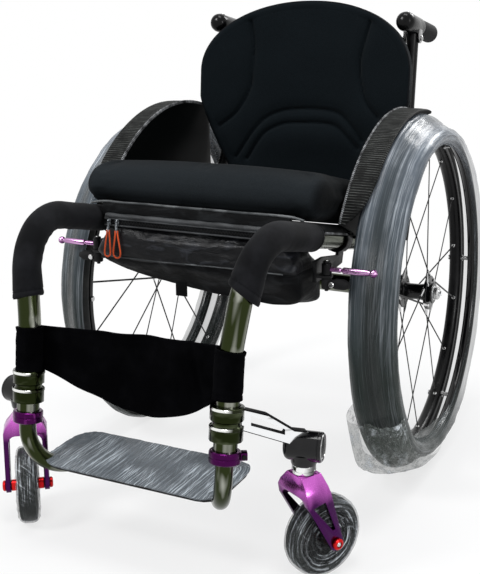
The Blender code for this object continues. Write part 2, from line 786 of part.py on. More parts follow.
# Footrest
def footrest():
    travel = pivot("footrest_travel", spot(0, KNEE[1], FOOT_BAR_Z))
    to_travel = Matrix.Translation(-travel.location)
    corners = []
    for side in (1, -1):
        top = leg_spot(side, FOOT_TUBE_TOP)
        low = top + LEG_DOWN * ((top.z - FOOT_BAR_Z) / math.cos(LEG_LEAN))
        turn = low + Vector((-side * FOOT_RUN_IN, FOOT_RUN_BACK, 0))
        corners.append((top, low, turn))
    (left_top, left_low, left_turn), (right_top, right_low, right_turn) = corners
    corners = (left_top, left_low, left_turn, right_turn, right_low, right_top)
    path = rounded(corners, (FOOT_ELBOW_R, FOOT_BEND_R, FOOT_BEND_R, FOOT_ELBOW_R), FOOT_BEND_STEPS)
    shape = swept(path, FOOT_TUBE_R, TUBE_SIDES)
    shape.transform(to_travel)
    solid("footrest_tube", shape, "frame_metal", travel)
    low = FOOT_BAR_Z + FOOT_TUBE_R + SEAT_GAP
    centre = spot(0, PLATE_FRONT - PLATE_DEPTH / 2, low)
    half = Vector((PLATE_HALF_WIDTH - PLATE_CORNER_R, PLATE_DEPTH / 2 - PLATE_CORNER_R, 0))
    outline = []
    for turn, (sx, sy) in enumerate(((1, 1), (-1, 1), (-1, -1), (1, -1))):
        corner = (sx * half.x, sy * half.y)
        start = turn * math.pi / 2
        outline += [Vector((x, y, 0)) + centre for x, y in arc(corner, PLATE_CORNER_R, start, start + math.pi / 2, 4)]
    shape = softened(plate(outline, Vector((0, 0, PLATE_THICKNESS))), 0.0012, above=60)
    shape.transform(to_travel)
    board = solid("footplate", shape, "black_gloss", travel)
    bar_y = left_turn.y
    for x in (-0.055, 0.055):
        strap = []
        for y, z in arc((0, 0), FOOT_TUBE_R + 0.0035, math.radians(180), math.radians(360), 6):
            strap.append(Vector((x - 0.009, bar_y + y, FOOT_BAR_Z + z)))
        top = low + PLATE_THICKNESS / 2
        strap += [Vector((x - 0.009, strap[-1].y, top)), Vector((x - 0.009, strap[0].y, top))]
        bracket = plate(strap, Vector((0.018, 0, 0)))
        bracket.transform(to_travel)
        join(board, bracket, f"strap_{'left' if x > 0 else 'right'}", travel)
    hole = hole_along(Vector((0, bar_y, FOOT_BAR_Z)), (1, 0, 0), 0.12, FOOT_TUBE_R)
    hole.transform(to_travel)
    cut(board, hole, "bar_hole", travel)
    for word, side in SIDES:
        top = leg_spot(side, FOOT_TUBE_TOP)
        low = top + LEG_DOWN * ((top.z - FOOT_BAR_Z) / math.cos(LEG_LEAN))
        turn = low + Vector((-side * FOOT_RUN_IN, FOOT_RUN_BACK, 0))
        path = rounded((top, low, turn), (FOOT_ELBOW_R,), FOOT_BEND_STEPS)
        notch = swept(path, hole_radius(FOOT_TUBE_R, TUBE_SIDES), TUBE_SIDES)
        notch.transform(to_travel)
        cut(board, notch, f"tube_notch_{word}", travel)


# Seat
def seat_point(x, ahead, up):
    """A point over the seat: up is square to the rails, from their centre line."""
    return rail_spot(0, ahead) + Vector((x, 0, 0)) + RAIL_UP * up


def seat_sling():
    """Upholstery laid over the rails, with a front band between them."""
    outer = TUBE_R + SEAT_GAP + SLING_THICKNESS
    upper = [(RAIL_X + x, y) for x, y in arc((0, 0), SLING_UNDER + SLING_THICKNESS, *SLING_WRAP)]
    lower = [(RAIL_X + x, y) for x, y in arc((0, 0), SLING_UNDER, *SLING_WRAP)]
    top = upper + [(-x, y) for x, y in reversed(upper)]
    bottom = lower + [(-x, y) for x, y in reversed(lower)]
    outline = top + bottom[::-1]
    back = [seat_point(x, -SLING_BEHIND, up) for x, up in outline]
    shape = plate(back, RAIL_FORWARD * (COVER_BEHIND + SLING_BEHIND) / math.cos(SEAT_DUMP) * 0.997)
    obj = solid("seat_sling", shape, "nylon")
    half = RAIL_X - TUBE_R - COVER_THICKNESS - 0.0012
    low, high = SLING_UNDER + SEAT_GAP, outer - SEAT_GAP
    band = [(-half, low), (half, low), (half, high), (-half, high)]
    start = COVER_BEHIND - 0.02
    corners = [seat_point(x, start, up) for x, up in band]
    join(obj, plate(corners, RAIL_FORWARD * (SLING_FRONT - start) / math.cos(SEAT_DUMP)), "front_band")
    for word, side in SIDES:
        notches = (
            ("brake", BRAKE_CLAMP_AHEAD, BRAKE_CLAMP_LENGTH),
            ("guard", GUARD_BRACKET_AHEAD, GUARD_BRACKET_LENGTH),
            ("axle", 0.0, AXLE_CLAMP_LENGTH),
        )
        for name, ahead, length in notches:
            start = ahead - length / 2 - 0.001
            low, high = TUBE_R * -1.2, CLAMP_R + 0.0010
            near, far = side * (RAIL_X - high), side * (RAIL_X + high + 0.002)
            corners = [seat_point(x, start, up) for x, up in ((near, low), (far, low), (far, high), (near, high))]
            cut(obj, plate(corners, RAIL_FORWARD * (length + 0.002)), f"{name}_notch_{word}")


def cushion():
    """A padded seat cushion: a crowned top, drawn-in sides and rolled ends."""
    bottom = max(CLAMP_R, SLING_UNDER + SLING_THICKNESS) + SEAT_GAP
    middle, half = bottom + CUSHION_THICKNESS / 2, CUSHION_THICKNESS / 2
    ends = [CUSHION_ROLL * (1 - math.cos(math.pi / 2 * i / 4)) for i in range(5)]
    places = ends + [CUSHION_LENGTH * share for share in (0.3, 0.5, 0.7)] + [CUSHION_LENGTH - end for end in ends[::-1]]
    sides = 22
    slices = []
    for place in places:
        near = min(place, CUSHION_LENGTH - place, CUSHION_ROLL)
        inset = CUSHION_ROLL - math.sqrt(CUSHION_ROLL**2 - (CUSHION_ROLL - near) ** 2)
        along = 2 * place / CUSHION_LENGTH - 1
        loop = []
        for j in range(sides):
            angle = math.tau * (j + 0.5) / sides
            c, s = math.cos(angle), math.sin(angle)
            across = math.copysign(abs(c) ** 0.32, c)
            level = math.copysign(abs(s) ** 0.60, s)
            drawn = CUSHION_DRAWN * (1 - along * along)
            crown = CUSHION_CROWN * (1 - across * across) * (1 - along**4) if s > 0 else 0.0
            x = (CUSHION_HALF_WIDTH - drawn - inset * 0.4) * across
            loop.append(seat_point(x, CUSHION_FRONT - place, middle + (half - inset) * level + crown))
        slices.append(loop)
    solid("cushion", lofted(slices), "mesh_fabric")


def bag_point(x, ahead, up):
    """A point of the bag: its front and back stand upright under the sloping rails."""
    return rail_spot(0, ahead) + Vector((x, 0, up))


def seat_bag():
    """A zipped bag hung under the front of the sling."""
    neck, wide = BAG_NECK_HALF_WIDTH, BAG_HALF_WIDTH
    outline = [
        (-neck, BAG_TOP),
        (neck, BAG_TOP),
        (neck, BAG_SHOULDER),
        (wide, BAG_SHOULDER - 0.020),
        (wide, BAG_BOTTOM),
        (wide - 0.022, BAG_BOTTOM - 0.005),
        (0.050, BAG_BOTTOM),
        (-0.060, BAG_BOTTOM + 0.006),
        (-0.120, BAG_BOTTOM + 0.019),
        (-wide, BAG_BOTTOM + 0.037),
    ]
    front = [bag_point(x, BAG_FRONT, up) for x, up in outline]
    shape = softened(plate(front, -RAIL_FORWARD * BAG_DEPTH), 0.006, above=50)
    obj = solid("seat_bag", shape, "nylon")
    low, high = ZIP_DROP - ZIP_HEIGHT / 2, ZIP_DROP + ZIP_HEIGHT / 2
    track = [(-ZIP_HALF_LENGTH, low), (ZIP_HALF_LENGTH, low), (ZIP_HALF_LENGTH, high), (-ZIP_HALF_LENGTH, high)]
    corners = [bag_point(x, BAG_FRONT, up) + Vector((0, 0.004, 0)) for x, up in track]
    join(obj, plate(corners, Vector((0, -ZIP_PROUD - 0.004, 0))), "zip_track")
    low, high = BAG_TOP - 0.004, SLING_UNDER / math.cos(SEAT_DUMP)
    band = [(-0.120, low), (0.120, low), (0.120, high), (-0.120, high)]
    corners = [bag_point(x, BAG_FRONT - 0.012, up) for x, up in band]
    join(obj, plate(corners, -RAIL_FORWARD * 0.004), "hanging_seam")


def zip_pulls():
    """Two zip sliders, each with a cord loop to pull it by."""
    for word, _ in SIDES:
        slider = pivot(f"zip_travel_{word}", bag_point(PULL_X[word], BAG_FRONT, ZIP_DROP))
        back = -ZIP_PROUD - SEAT_GAP
        half = PULL_WIDTH / 2
        face = ((-half, -PULL_HEIGHT / 2), (half, -PULL_HEIGHT / 2), (half, PULL_HEIGHT / 2), (-half, PULL_HEIGHT / 2))
        shape = softened(plate([Vector((x, back, z)) for x, z in face], Vector((0, -PULL_DEPTH, 0))), 0.001)
        obj = solid(f"zip_pull_{word}", shape, "orange_cord", slider)
        middle = back - PULL_DEPTH * 0.5
        radius = LOOP_WIDTH / 2
        path = [Vector((x, middle, z)) for x, z in arc((0, 0), radius, 0, math.pi, 4)]
        path += [Vector((x, middle, z)) for x, z in arc((0, -LOOP_LENGTH), radius, math.pi, math.tau, 4)]
        path.append(path[0])
        rings = [ring_of(frame, LOOP_CORD_R, 4) for frame in ring_frames(path)[:-1]]
        join(obj, lofted(rings, closed=True), "loop", slider)


# Covers on the tubes
def tube_covers():
    """Padded covers over the bends of the side tubes."""
    for word, side in SIDES:
        path = side_path(side)
        start = length_to(path, 1, AXLE_Y - COVER_BEHIND)
        end = length_to(path, 2, COVER_HEM)
        cover = swept(part_of(path, start, end), TUBE_R + COVER_THICKNESS, TUBE_SIDES, TUBE_R + SEAT_GAP)
        solid(f"tube_cover_{word}", cover, "neoprene")


def strap_edge(x):
    """How far below the top of the calf strap its lower edge hangs."""
    share = min(1.0, abs(x - STRAP_LEAN * (1 - (x / KNEE[0]) ** 2)) / KNEE[0])
    return (STRAP_TOP - STRAP_BOTTOM) + STRAP_LOBE * (1 - share**2.2) ** 1.5


def calf_strap():
    """A cloth strap wound round both legs, with a lobe hanging between them."""
    inner = hole_radius(TUBE_R, TUBE_SIDES)
    outer = inner + STRAP_THICKNESS
    slices = []
    for i in range(STRAP_COLUMNS + 1):
        across = -1 + 2 * i / STRAP_COLUMNS
        x = across * KNEE[0]
        near, far = [], []
        for j in range(STRAP_ROWS + 1):
            down = j / STRAP_ROWS
            z = STRAP_TOP - strap_edge(x) * down
            leg = KNEE[1] + max(0.0, KNEE[2] - z) * math.tan(LEG_LEAN)
            slack = math.cos(across * math.pi / 2) ** 2
            fold = 0.0022 * math.sin(9 * across + 4 * down) + 0.0018 * math.sin(15 * across - 5 * down)
            behind = (inner + outer) / 2 + slack * (STRAP_BILLOW * (0.35 + 0.65 * down) + fold)
            near.append(spot(x, leg - behind + STRAP_THICKNESS * 0.4, z))
            far.append(spot(x, leg - behind - STRAP_THICKNESS * 0.4, z))
        slices.append(near + far[::-1])
    shape = lofted(slices)
    obj = solid("calf_strap", shape, "neoprene")
    for word, side in SIDES:
        path = side_path(side)
        low = length_to(path, 2, STRAP_BOTTOM)
        high = length_to(path, 2, STRAP_TOP)
        join(obj, swept(part_of(path, high, low), outer, 14), f"wrap_{word}")
    for word, side in SIDES:
        path = side_path(side)
        low = length_to(path, 2, STRAP_BOTTOM) + 0.01
        cut(obj, swept(part_of(path, low - 0.12, low), inner, TUBE_SIDES), f"leg_{word}")


# Side guards
def side_guards():
    """A flat guard beside the seat, its top edge turned out over the tyre."""
    for word, side in SIDES:
        lip = [
            (math.sin(angle) * GUARD_LIP_R, math.cos(angle) * GUARD_LIP_R)
            for angle in (GUARD_FRONT + (GUARD_BACK - GUARD_FRONT) * i / 12 for i in range(13))
        ]
        edge = [(ahead, AXLE_Z + up) for ahead, up in lip]
        foot_z = math.tan(SEAT_DUMP)
        outline = edge + [
            (-0.1060, 0.4700),
            (-0.0800, RAIL_Z + foot_z * -0.08 + 0.004),
            (0.1700, RAIL_Z + foot_z * 0.17 + 0.004),
            (0.2050, RAIL_Z + foot_z * 0.205 + 0.012),
        ]
        panel = plate([spot(side * GUARD_X, ahead, z) for ahead, z in outline], Vector((side * GUARD_THICKNESS, 0, 0)))
        obj = solid(f"side_guard_{word}", panel, "carbon")
        inner = GUARD_LIP_R - GUARD_THICKNESS
        band = [(ahead * 1.0, AXLE_Z + up) for ahead, up in lip]
        band += [(ahead * inner / GUARD_LIP_R, AXLE_Z + up * inner / GUARD_LIP_R) for ahead, up in reversed(lip)]
        corners = [spot(side * (GUARD_X + 0.0002), ahead, z) for ahead, z in band]
        join(obj, plate(corners, Vector((side * GUARD_LIP_WIDTH, 0, 0))), "lip")
        rail = rail_spot(side, GUARD_BRACKET_AHEAD)
        near = side * (RAIL_X + TUBE_R + 0.0015)
        pad = [
            Vector((near, rail.y - ahead, rail.z + up))
            for ahead, up in ((-0.012, 0.002), (0.012, 0.002), (0.012, 0.016), (-0.012, 0.016))
        ]
        join(obj, plate(pad, Vector((side * (GUARD_X + 0.001) - near, 0, 0))), "pad")
        ring = clamp_ring(rail, RAIL_FORWARD, GUARD_BRACKET_LENGTH, CLAMP_R, hole_radius(TUBE_R, TUBE_SIDES), TUBE_SIDES)
        join(obj, ring, "clamp")


# Brakes
def brakes():
    """A plate hangs from each rail, and a lever with a tyre rod turns on its bolt."""
    for word, side in SIDES:
        rail = rail_spot(side, BRAKE_CLAMP_AHEAD)
        mount = solid(
            f"brake_mount_{word}",
            collar(rail, RAIL_FORWARD, BRAKE_CLAMP_LENGTH),
            "black_metal",
        )
        x = side * BRAKE_PLATE_X
        view = [
            (BRAKE_CLAMP_AHEAD - 0.010, rail.z - TUBE_R - 0.002),
            (BRAKE_CLAMP_AHEAD - 0.004, rail.z - TUBE_R - 0.022),
            (BRAKE_PIVOT_AHEAD - 0.030, BRAKE_ROD_Z - 0.020),
            (BRAKE_PIVOT_AHEAD + 0.010, BRAKE_ROD_Z - 0.020),
            (BRAKE_PIVOT_AHEAD + 0.012, BRAKE_ROD_Z + 0.012),
            (BRAKE_PIVOT_AHEAD - 0.020, BRAKE_ROD_Z + 0.012),
            (BRAKE_CLAMP_AHEAD + 0.014, rail.z - TUBE_R - 0.006),
            (BRAKE_CLAMP_AHEAD + 0.010, rail.z - TUBE_R + 0.004),
        ]
        outline = [spot(x, ahead, z) for ahead, z in view]
        join(mount, plate(outline, Vector((-side * BRAKE_PLATE, 0, 0))), "plate")
        bolt = spot(side * BRAKE_PIVOT_X, BRAKE_PIVOT_AHEAD, 0)
        shelf_top = BRAKE_ROD_Z - BRAKE_BOSS / 2 - SEAT_GAP
        shelf = [
            Vector((side * BRAKE_PLATE_X, bolt.y - 0.009, shelf_top)),
            Vector((bolt.x, bolt.y - 0.009, shelf_top)),
            Vector((bolt.x + side * 0.008, bolt.y - 0.005, shelf_top)),
            Vector((bolt.x + side * 0.008, bolt.y + 0.005, shelf_top)),
            Vector((bolt.x, bolt.y + 0.009, shelf_top)),
            Vector((side * BRAKE_PLATE_X, bolt.y + 0.009, shelf_top)),
        ]
        shelf = [point - Vector((side * 0.002, 0, 0)) if abs(point.x) < BRAKE_PLATE_X + 1e-6 else point for point in shelf]
        join(mount, plate(shelf, Vector((0, 0, -0.004))), "shelf")
        cut(mount, hole_along(rail, RAIL_FORWARD, 0.14, TUBE_R), "rail_hole")
        top = BRAKE_ROD_Z + BRAKE_BOSS / 2 + 0.0035
        low = shelf_top - 0.004 - 0.020
        join(mount, rod(Vector((bolt.x, bolt.y, low)), Vector((bolt.x, bolt.y, top)), BRAKE_BOLT_R, 8), "bolt")
        head = Vector((bolt.x, bolt.y, top - 0.0030))
        join(mount, rod(head, head + Vector((0, 0, 0.003)), 0.0058, 6), "bolt_head")

        turn = pivot(f"brake_pivot_{word}", Vector((bolt.x, bolt.y, BRAKE_ROD_Z)))
        to_turn = Matrix.Translation(-turn.location)
        boss = rod(Vector((0, 0, -BRAKE_BOSS / 2)), Vector((0, 0, BRAKE_BOSS / 2)), BRAKE_BOSS_R, 12)
        arm = solid(f"brake_arm_{word}", boss, "purple", turn)
        length = BRAKE_ROD_END - BRAKE_PIVOT_X
        ball = BRAKE_ROD_R * 1.25
        neck_at = BRAKE_BOSS_R + (length - BRAKE_BOSS_R) * 0.26
        profile = [(0, 0.0050), (0.0038, 0.0050), (0.0038, neck_at - 0.003), (0.0028, neck_at - 0.0015)]
        profile += [(0.0028, neck_at + 0.001), (BRAKE_ROD_R, neck_at + 0.003), (BRAKE_ROD_R, length - 2 * ball)]
        profile += [(ball * math.sin(a), length - ball - ball * math.cos(a)) for a in (0.8, 1.57, 2.4)]
        profile += [(0, length)]
        join(arm, spun(profile, Vector((0, 0, 0)), (side, 0, 0), 8), "rod", turn)
        cut(arm, hole_along(Vector((0, 0, 0)), (0, 0, 1), 0.02, BRAKE_BOLT_R, 8), "bolt_hole", turn)
        lever_top = shelf_top - 0.004 - SEAT_GAP
        lever_low = lever_top - 0.016
        boss = rod(Vector((bolt.x, bolt.y, lever_low)), Vector((bolt.x, bolt.y, lever_top)), BRAKE_BOSS_R, 12)
        boss.transform(to_turn)
        lever = solid(f"brake_lever_{word}", boss, "rubber", turn)
        grip_z = (lever_top + lever_low) / 2
        start = Vector((bolt.x + side * 0.004, bolt.y, grip_z))
        length = BRAKE_LEVER_END - abs(start.x)
        grip = BRAKE_LEVER_R
        profile = [(0, 0), (0.0055, 0), (0.0060, 0.006), (grip, 0.009), (grip, length - 0.002), (grip - 0.002, length), (0, length)]
        shape = spun(profile, start, (side, 0, 0), 10)
        shape.transform(to_turn)
        join(lever, shape, "grip", turn)
        cut(lever, hole_along(Vector((0, 0, -0.03)), (0, 0, 1), 0.03, BRAKE_BOLT_R, 8), "bolt_hole", turn)


# Backrest
def back_half_width(z):
    if z <= BACK_SQUARE_FROM:
        share = (BACK_SQUARE_FROM - z) / (BACK_SQUARE_FROM - BACK_BOTTOM)
        return BACK_HALF_WIDTH + (BACK_FOOT_HALF_WIDTH - BACK_HALF_WIDTH) * share**1.25
    if z <= BACK_ROUND_FROM:
        return BACK_HALF_WIDTH
    share = min(1.0, (z - BACK_ROUND_FROM) / (BACK_TOP - BACK_ROUND_FROM))
    return BACK_HALF_WIDTH * max(0.0, 1 - share**2.1) ** (1 / 2.1)


def back_front_y(x, z):
    """Where the pad's front surface lies: hollow across its width, leaning back with height."""
    lean = math.tan(BACK_RECLINE) * (z - (BACK_BOTTOM + BACK_TOP) / 2)
    return AXLE_Y + BACK_FRONT_BEHIND + lean - BACK_HOLLOW * (x / BACK_HALF_WIDTH) ** 2


def back_slices(front, thickness, inset, rows, columns, edge):
    """Level loops of a hollow sheet that starts front metres behind the pad's front surface."""
    slices = []
    low, high = BACK_BOTTOM + inset, BACK_TOP - inset
    for i in range(rows + 1):
        share = (1 - math.cos(math.pi * i / rows)) / 2
        z = low + (high - low) * (share * 0.985 + 0.0075)
        half = max(0.012, back_half_width(z) - inset)
        ends = min(1.0, (z - low) / edge, (high - z) / edge)
        body = thickness * (0.35 + 0.65 * math.sqrt(max(0.0, 1 - (1 - ends) ** 2)))
        front_side, back_side = [], []
        for j in range(columns + 1):
            across = -math.cos(math.pi * j / columns)
            x = half * across
            near = min(1.0, (half - abs(x)) / edge)
            deep = body * (0.30 + 0.70 * math.sqrt(max(0.0, 1 - (1 - near) ** 2)))
            middle = back_front_y(x, z) + front + thickness / 2
            front_side.append(Vector((x, middle - deep / 2, z)))
            back_side.append(Vector((x, middle + deep / 2, z)))
        slices.append(front_side + back_side[::-1])
    return slices


def backrest():
    hinge = pivot("backrest_hinge", spot(0, -HINGE_BEHIND, HINGE_Z))
    to_hinge = Matrix.Translation(-hinge.location)
    pad = lofted(back_slices(0.0, BACK_PAD_THICKNESS, 0.0, 14, 12, 0.022))
    pad.transform(to_hinge)
    solid("back_pad", pad, "mesh_fabric", hinge)
    behind = BACK_PAD_THICKNESS + SHELL_GAP
    shell = lofted(back_slices(behind, SHELL_THICKNESS, SHELL_INSET, 9, 9, 0.001))
    shell.transform(to_hinge)
    solid("back_shell", shell, "black_metal", hinge)

    frame = None
    for word, side in SIDES:
        pin = spot(side * RAIL_X, -HINGE_BEHIND, HINGE_Z)
        knee = spot(side * RAIL_X, -POST_KNEE[0], POST_KNEE[1])
        top = spot(side * RAIL_X, -POST_BEHIND, POST_TOP)
        start = pin + (knee - pin).normalized() * 0.004
        shape = swept(rounded((start, knee, top), (POST_BEND_R,), 4), POST_R, 8)
        shape.transform(to_hinge)
        if frame is None:
            frame = solid("back_frame", shape, "black_metal", hinge)
        else:
            join(frame, shape, f"post_{word}", hinge)
        lug = rod(pin - Vector((LUG_HALF, 0, 0)), pin + Vector((LUG_HALF, 0, 0)), 0.0100, 10)
        lug.transform(to_hinge)
        join(frame, lug, f"lug_{word}", hinge)
        post_y = [AXLE_Y + POST_KNEE[0] + (POST_BEHIND - POST_KNEE[0]) * (z - POST_KNEE[1]) / (POST_TOP - POST_KNEE[1])
                  for z in LUG_ROWS]
        for row, (z, y) in enumerate(zip(LUG_ROWS, post_y)):
            x = side * (RAIL_X - 0.006)
            reach = back_front_y(x, z) + behind + SHELL_THICKNESS + SEAT_GAP
            reach = max(reach, back_front_y(x - side * BACK_LUG_R, z) + behind + SHELL_THICKNESS + SEAT_GAP)
            tab = rod(Vector((x, reach, z)), Vector((x, y, z)), BACK_LUG_R, 6)
            tab.transform(to_hinge)
            join(frame, tab, f"tab_{word}_{row}", hinge)
        bolt = Vector((top.x, top.y, POST_TOP - HANDLE_BOLT_DROP))
        ends = Vector((HANDLE_CHEEK_OUT + 0.0025, 0, 0))
        shape = rod(bolt - ends, bolt + ends, HANDLE_BOLT_R, 6)
        shape.transform(to_hinge)
        join(frame, shape, f"handle_bolt_{word}", hinge)
    for word, side in SIDES:
        pin = spot(side * RAIL_X, -HINGE_BEHIND, HINGE_Z)
        hole = hole_along(pin, (1, 0, 0), 0.02, HINGE_PIN_R, 8)
        hole.transform(to_hinge)
        cut(frame, hole, f"pin_hole_{word}", hinge)
    share = (RIGIDIZER_Z - POST_KNEE[1]) / (POST_TOP - POST_KNEE[1])
    bar_behind = POST_KNEE[0] + (POST_BEHIND - POST_KNEE[0]) * share
    ends = [spot(side * RAIL_X, -bar_behind, RIGIDIZER_Z) for _, side in SIDES]
    bar = rod(ends[0], ends[1], RIGIDIZER_R, 8)
    bar.transform(to_hinge)
    join(frame, bar, "rigidizer_bar", hinge)
    push_handles(hinge)


def push_handles(hinge):
    """Grips that straddle the posts and fold down behind them."""
    for word, side in SIDES:
        place = spot(side * RAIL_X, -POST_BEHIND, POST_TOP - HANDLE_BOLT_DROP)
        turn = pivot(f"handle_pivot_{word}", place - hinge.location, parent=hinge)
        way = Vector((0, math.cos(GRIP_SLOPE), -math.sin(GRIP_SLOPE)))
        front = Vector((0, 0, GRIP_RISE)) - way * GRIP_AHEAD
        length = GRIP_AHEAD + GRIP_BEHIND
        profile = [(0, 0), (GRIP_R * 0.7, 0.003), (GRIP_R, 0.013), (GRIP_R, GRIP_AHEAD + 0.026)]
        profile += [(GRIP_R - 0.0025, GRIP_AHEAD + 0.029), (GRIP_R - 0.0015, length * 0.75), (GRIP_R, length - 0.006)]
        profile += [(GRIP_R - 0.004, length), (0, length)]
        obj = solid(f"push_handle_{word}", spun(profile, front, way, 12), "rubber", turn)
        slot = [Vector((-HANDLE_CHEEK_IN, y, z)) for y, z in ((-0.0125, -0.01), (0.031, -0.01), (0.031, 0.013), (-0.0125, 0.013))]
        cut(obj, plate(slot, Vector((2 * HANDLE_CHEEK_IN, 0, 0))), "post_slot", turn)
        for number, sign in enumerate((-1, 1)):
            cheek = [Vector((sign * HANDLE_CHEEK_IN, y, z)) for y, z in arc((0, 0), 0.0085, math.pi, math.tau, 5)]
            cheek += [Vector((sign * HANDLE_CHEEK_IN, 0.0085, GRIP_RISE)), Vector((sign * HANDLE_CHEEK_IN, -0.0085, GRIP_RISE))]
            width = HANDLE_CHEEK_OUT - HANDLE_CHEEK_IN
            join(obj, plate(cheek, Vector((sign * width, 0, 0))), f"cheek_{number}", turn)
        cut(obj, hole_along(Vector((0, 0, 0)), (1, 0, 0), 0.03, HANDLE_BOLT_R, 6), "bolt_hole", turn)


# Rear wheels
def along_x(shape):
    """Turns a shape spun round Z so that its axis runs along X, outboard."""
    shape.transform(Matrix.Rotation(math.pi / 2, 4, "Y"))
    return shape


def tyre_shape():
    ring = TYRE_R - TYRE_SECTION_R
    profile = arc((ring, 0), TYRE_SECTION_R, 0, math.tau, TYRE_SIDES)[:-1]
    return along_x(turned(profile, WHEEL_STEPS, closed=True))


def rim_shape():
    bed = TYRE_R - TYRE_SECTION_R * (1 + math.cos(math.pi / TYRE_SIDES)) - SEAT_GAP
    half, wall = RIM_HALF_WIDTH, RIM_WALL
    profile = [
        (RIM_INNER_R, -half * 0.55),
        (RIM_INNER_R, half * 0.55),
        (RIM_INNER_R + 0.0045, half),
        (RIM_WALL_R, half),
        (bed, half - wall - 0.0020),
        (bed, -half + wall + 0.0020),
        (RIM_WALL_R, -half),
        (RIM_INNER_R + 0.0045, -half),
    ]
    return along_x(turned(profile, WHEEL_STEPS, closed=True))


def handrim_shape():
    profile = arc((HANDRIM_R, HANDRIM_OUT), HANDRIM_SECTION_R, 0, math.tau, 6)[:-1]
    return along_x(turned(profile, WHEEL_STEPS, closed=True))


def on_wheel(out, radius, angle):
    """A point of the wheel, its angle counted from the top towards the front."""
    return Vector((out, -radius * math.sin(angle), radius * math.cos(angle)))


def spoke_shape(start, end):
    """A flat spoke, thicker where its nipple seats in the hub."""
    way = (end - start).normalized()
    flat = way.cross(Vector((1, 0, 0))).normalized()
    thin = flat.cross(way)
    slices = []
    for at, width, depth in (
        (start, NIPPLE_WIDTH, NIPPLE_DEPTH),
        (start + way * NIPPLE_LENGTH, SPOKE_WIDTH, SPOKE_THICKNESS),
        (end, SPOKE_WIDTH, SPOKE_THICKNESS),
    ):
        square = ((-1, -1), (1, -1), (1, 1), (-1, 1))
        slices.append([at + flat * (width / 2 * a) + thin * (depth / 2 * b) for a, b in square])
    return lofted(slices)


def hub_shape():
    inner, outer = -HUB_INNER, HUB_OUTER
    profile = [(0, inner), (HUB_END_R - 0.002, inner)]
    for at in (INNER_FLANGE_AT, OUTER_FLANGE_AT):
        profile += [(HUB_BARREL_R, at - FLANGE_HALF - 0.002), (FLANGE_R, at - FLANGE_HALF)]
        profile += [(FLANGE_R, at + FLANGE_HALF), (HUB_BARREL_R, at + FLANGE_HALF + 0.002)]
    profile += [(HUB_END_R, outer - 0.003), (HUB_END_R - 0.002, outer), (0, outer)]
    return along_x(turned(profile, 10))


def rear_wheels():
    for word, side in SIDES:
        turn = (0, -CAMBER, 0) if side > 0 else (0, -CAMBER, math.pi)
        wheel = pivot(f"wheel_axis_{word}", hub_centre(side), turn)
        solid(f"tyre_{word}", tyre_shape(), "rubber", wheel)
        solid(f"rim_{word}", rim_shape(), "black_metal", wheel)
        handrim = solid(f"handrim_{word}", handrim_shape(), "black_gloss", wheel)
        for i in range(HANDRIM_TABS):
            angle = math.tau * (i + 0.5) / HANDRIM_TABS
            start = on_wheel(RIM_HALF_WIDTH + SEAT_GAP, HANDRIM_TAB_AT_R, angle)
            end = on_wheel(HANDRIM_OUT - 0.004, HANDRIM_TAB_AT_R, angle)
            join(handrim, rod(start, end, HANDRIM_TAB_R, 4), f"tab_{i}", wheel)
        hub = solid(f"hub_{word}", hub_shape(), "black_metal", wheel)
        for i in range(SPOKES):
            end_angle = math.tau * (i + 0.25) / SPOKES
            flange = OUTER_FLANGE_AT if i % 2 else INNER_FLANGE_AT
            lead = SPOKE_LEAD if (i // 2) % 2 else -SPOKE_LEAD
            face = 0.0014 if (i // 2) % 2 else -0.0014
            start = on_wheel(flange + face, SPOKE_CIRCLE_R, end_angle + lead)
            end = on_wheel(0.0025 if i % 2 else -0.0025, RIM_INNER_R * math.cos(math.pi / WHEEL_STEPS) - SEAT_GAP, end_angle)
            join(hub, spoke_shape(start, end), f"spoke_{i}", wheel)
        reach = Vector((HUB_OUTER + 0.01, 0, 0))
        cut(hub, rod(-reach, reach, hole_radius(AXLE_PIN_R, 8), 8), "axle_hole", wheel)
        fixed = pivot(f"axle_seat_{word}", hub_centre(side), turn)
        head_at = HUB_OUTER + SEAT_GAP
        pin = [(0, -AXLE_PIN_DEPTH), (AXLE_PIN_R - 0.0015, -AXLE_PIN_DEPTH), (AXLE_PIN_R, -AXLE_PIN_DEPTH + 0.0015)]
        pin += [(AXLE_PIN_R, head_at), (AXLE_HEAD_R, head_at), (AXLE_HEAD_R, head_at + AXLE_HEAD - 0.002)]
        pin += [(AXLE_HEAD_R - 0.002, head_at + AXLE_HEAD), (0, head_at + AXLE_HEAD)]
        obj = solid(f"axle_pin_{word}", along_x(turned(pin, 10)), "chrome", fixed)
        hole_end = head_at + AXLE_HEAD - BUTTON_LENGTH
        hole = rod(Vector((hole_end, 0, 0)), Vector((hole_end + 0.03, 0, 0)), hole_radius(BUTTON_R, 8), 8)
        cut(obj, hole, "button_hole", fixed)
        face = head_at + AXLE_HEAD
        button = [(0, -BUTTON_LENGTH + BUTTON_OUT + 0.0005), (BUTTON_R, -BUTTON_LENGTH + BUTTON_OUT + 0.0005)]
        button += [(BUTTON_R, BUTTON_OUT - 0.001), (BUTTON_R - 0.001, BUTTON_OUT), (0, BUTTON_OUT)]
        press = pivot(f"button_travel_{word}", Vector((face, 0, 0)), parent=fixed)
        solid(f"axle_button_{word}", along_x(turned(button, 8)), "chrome", press)


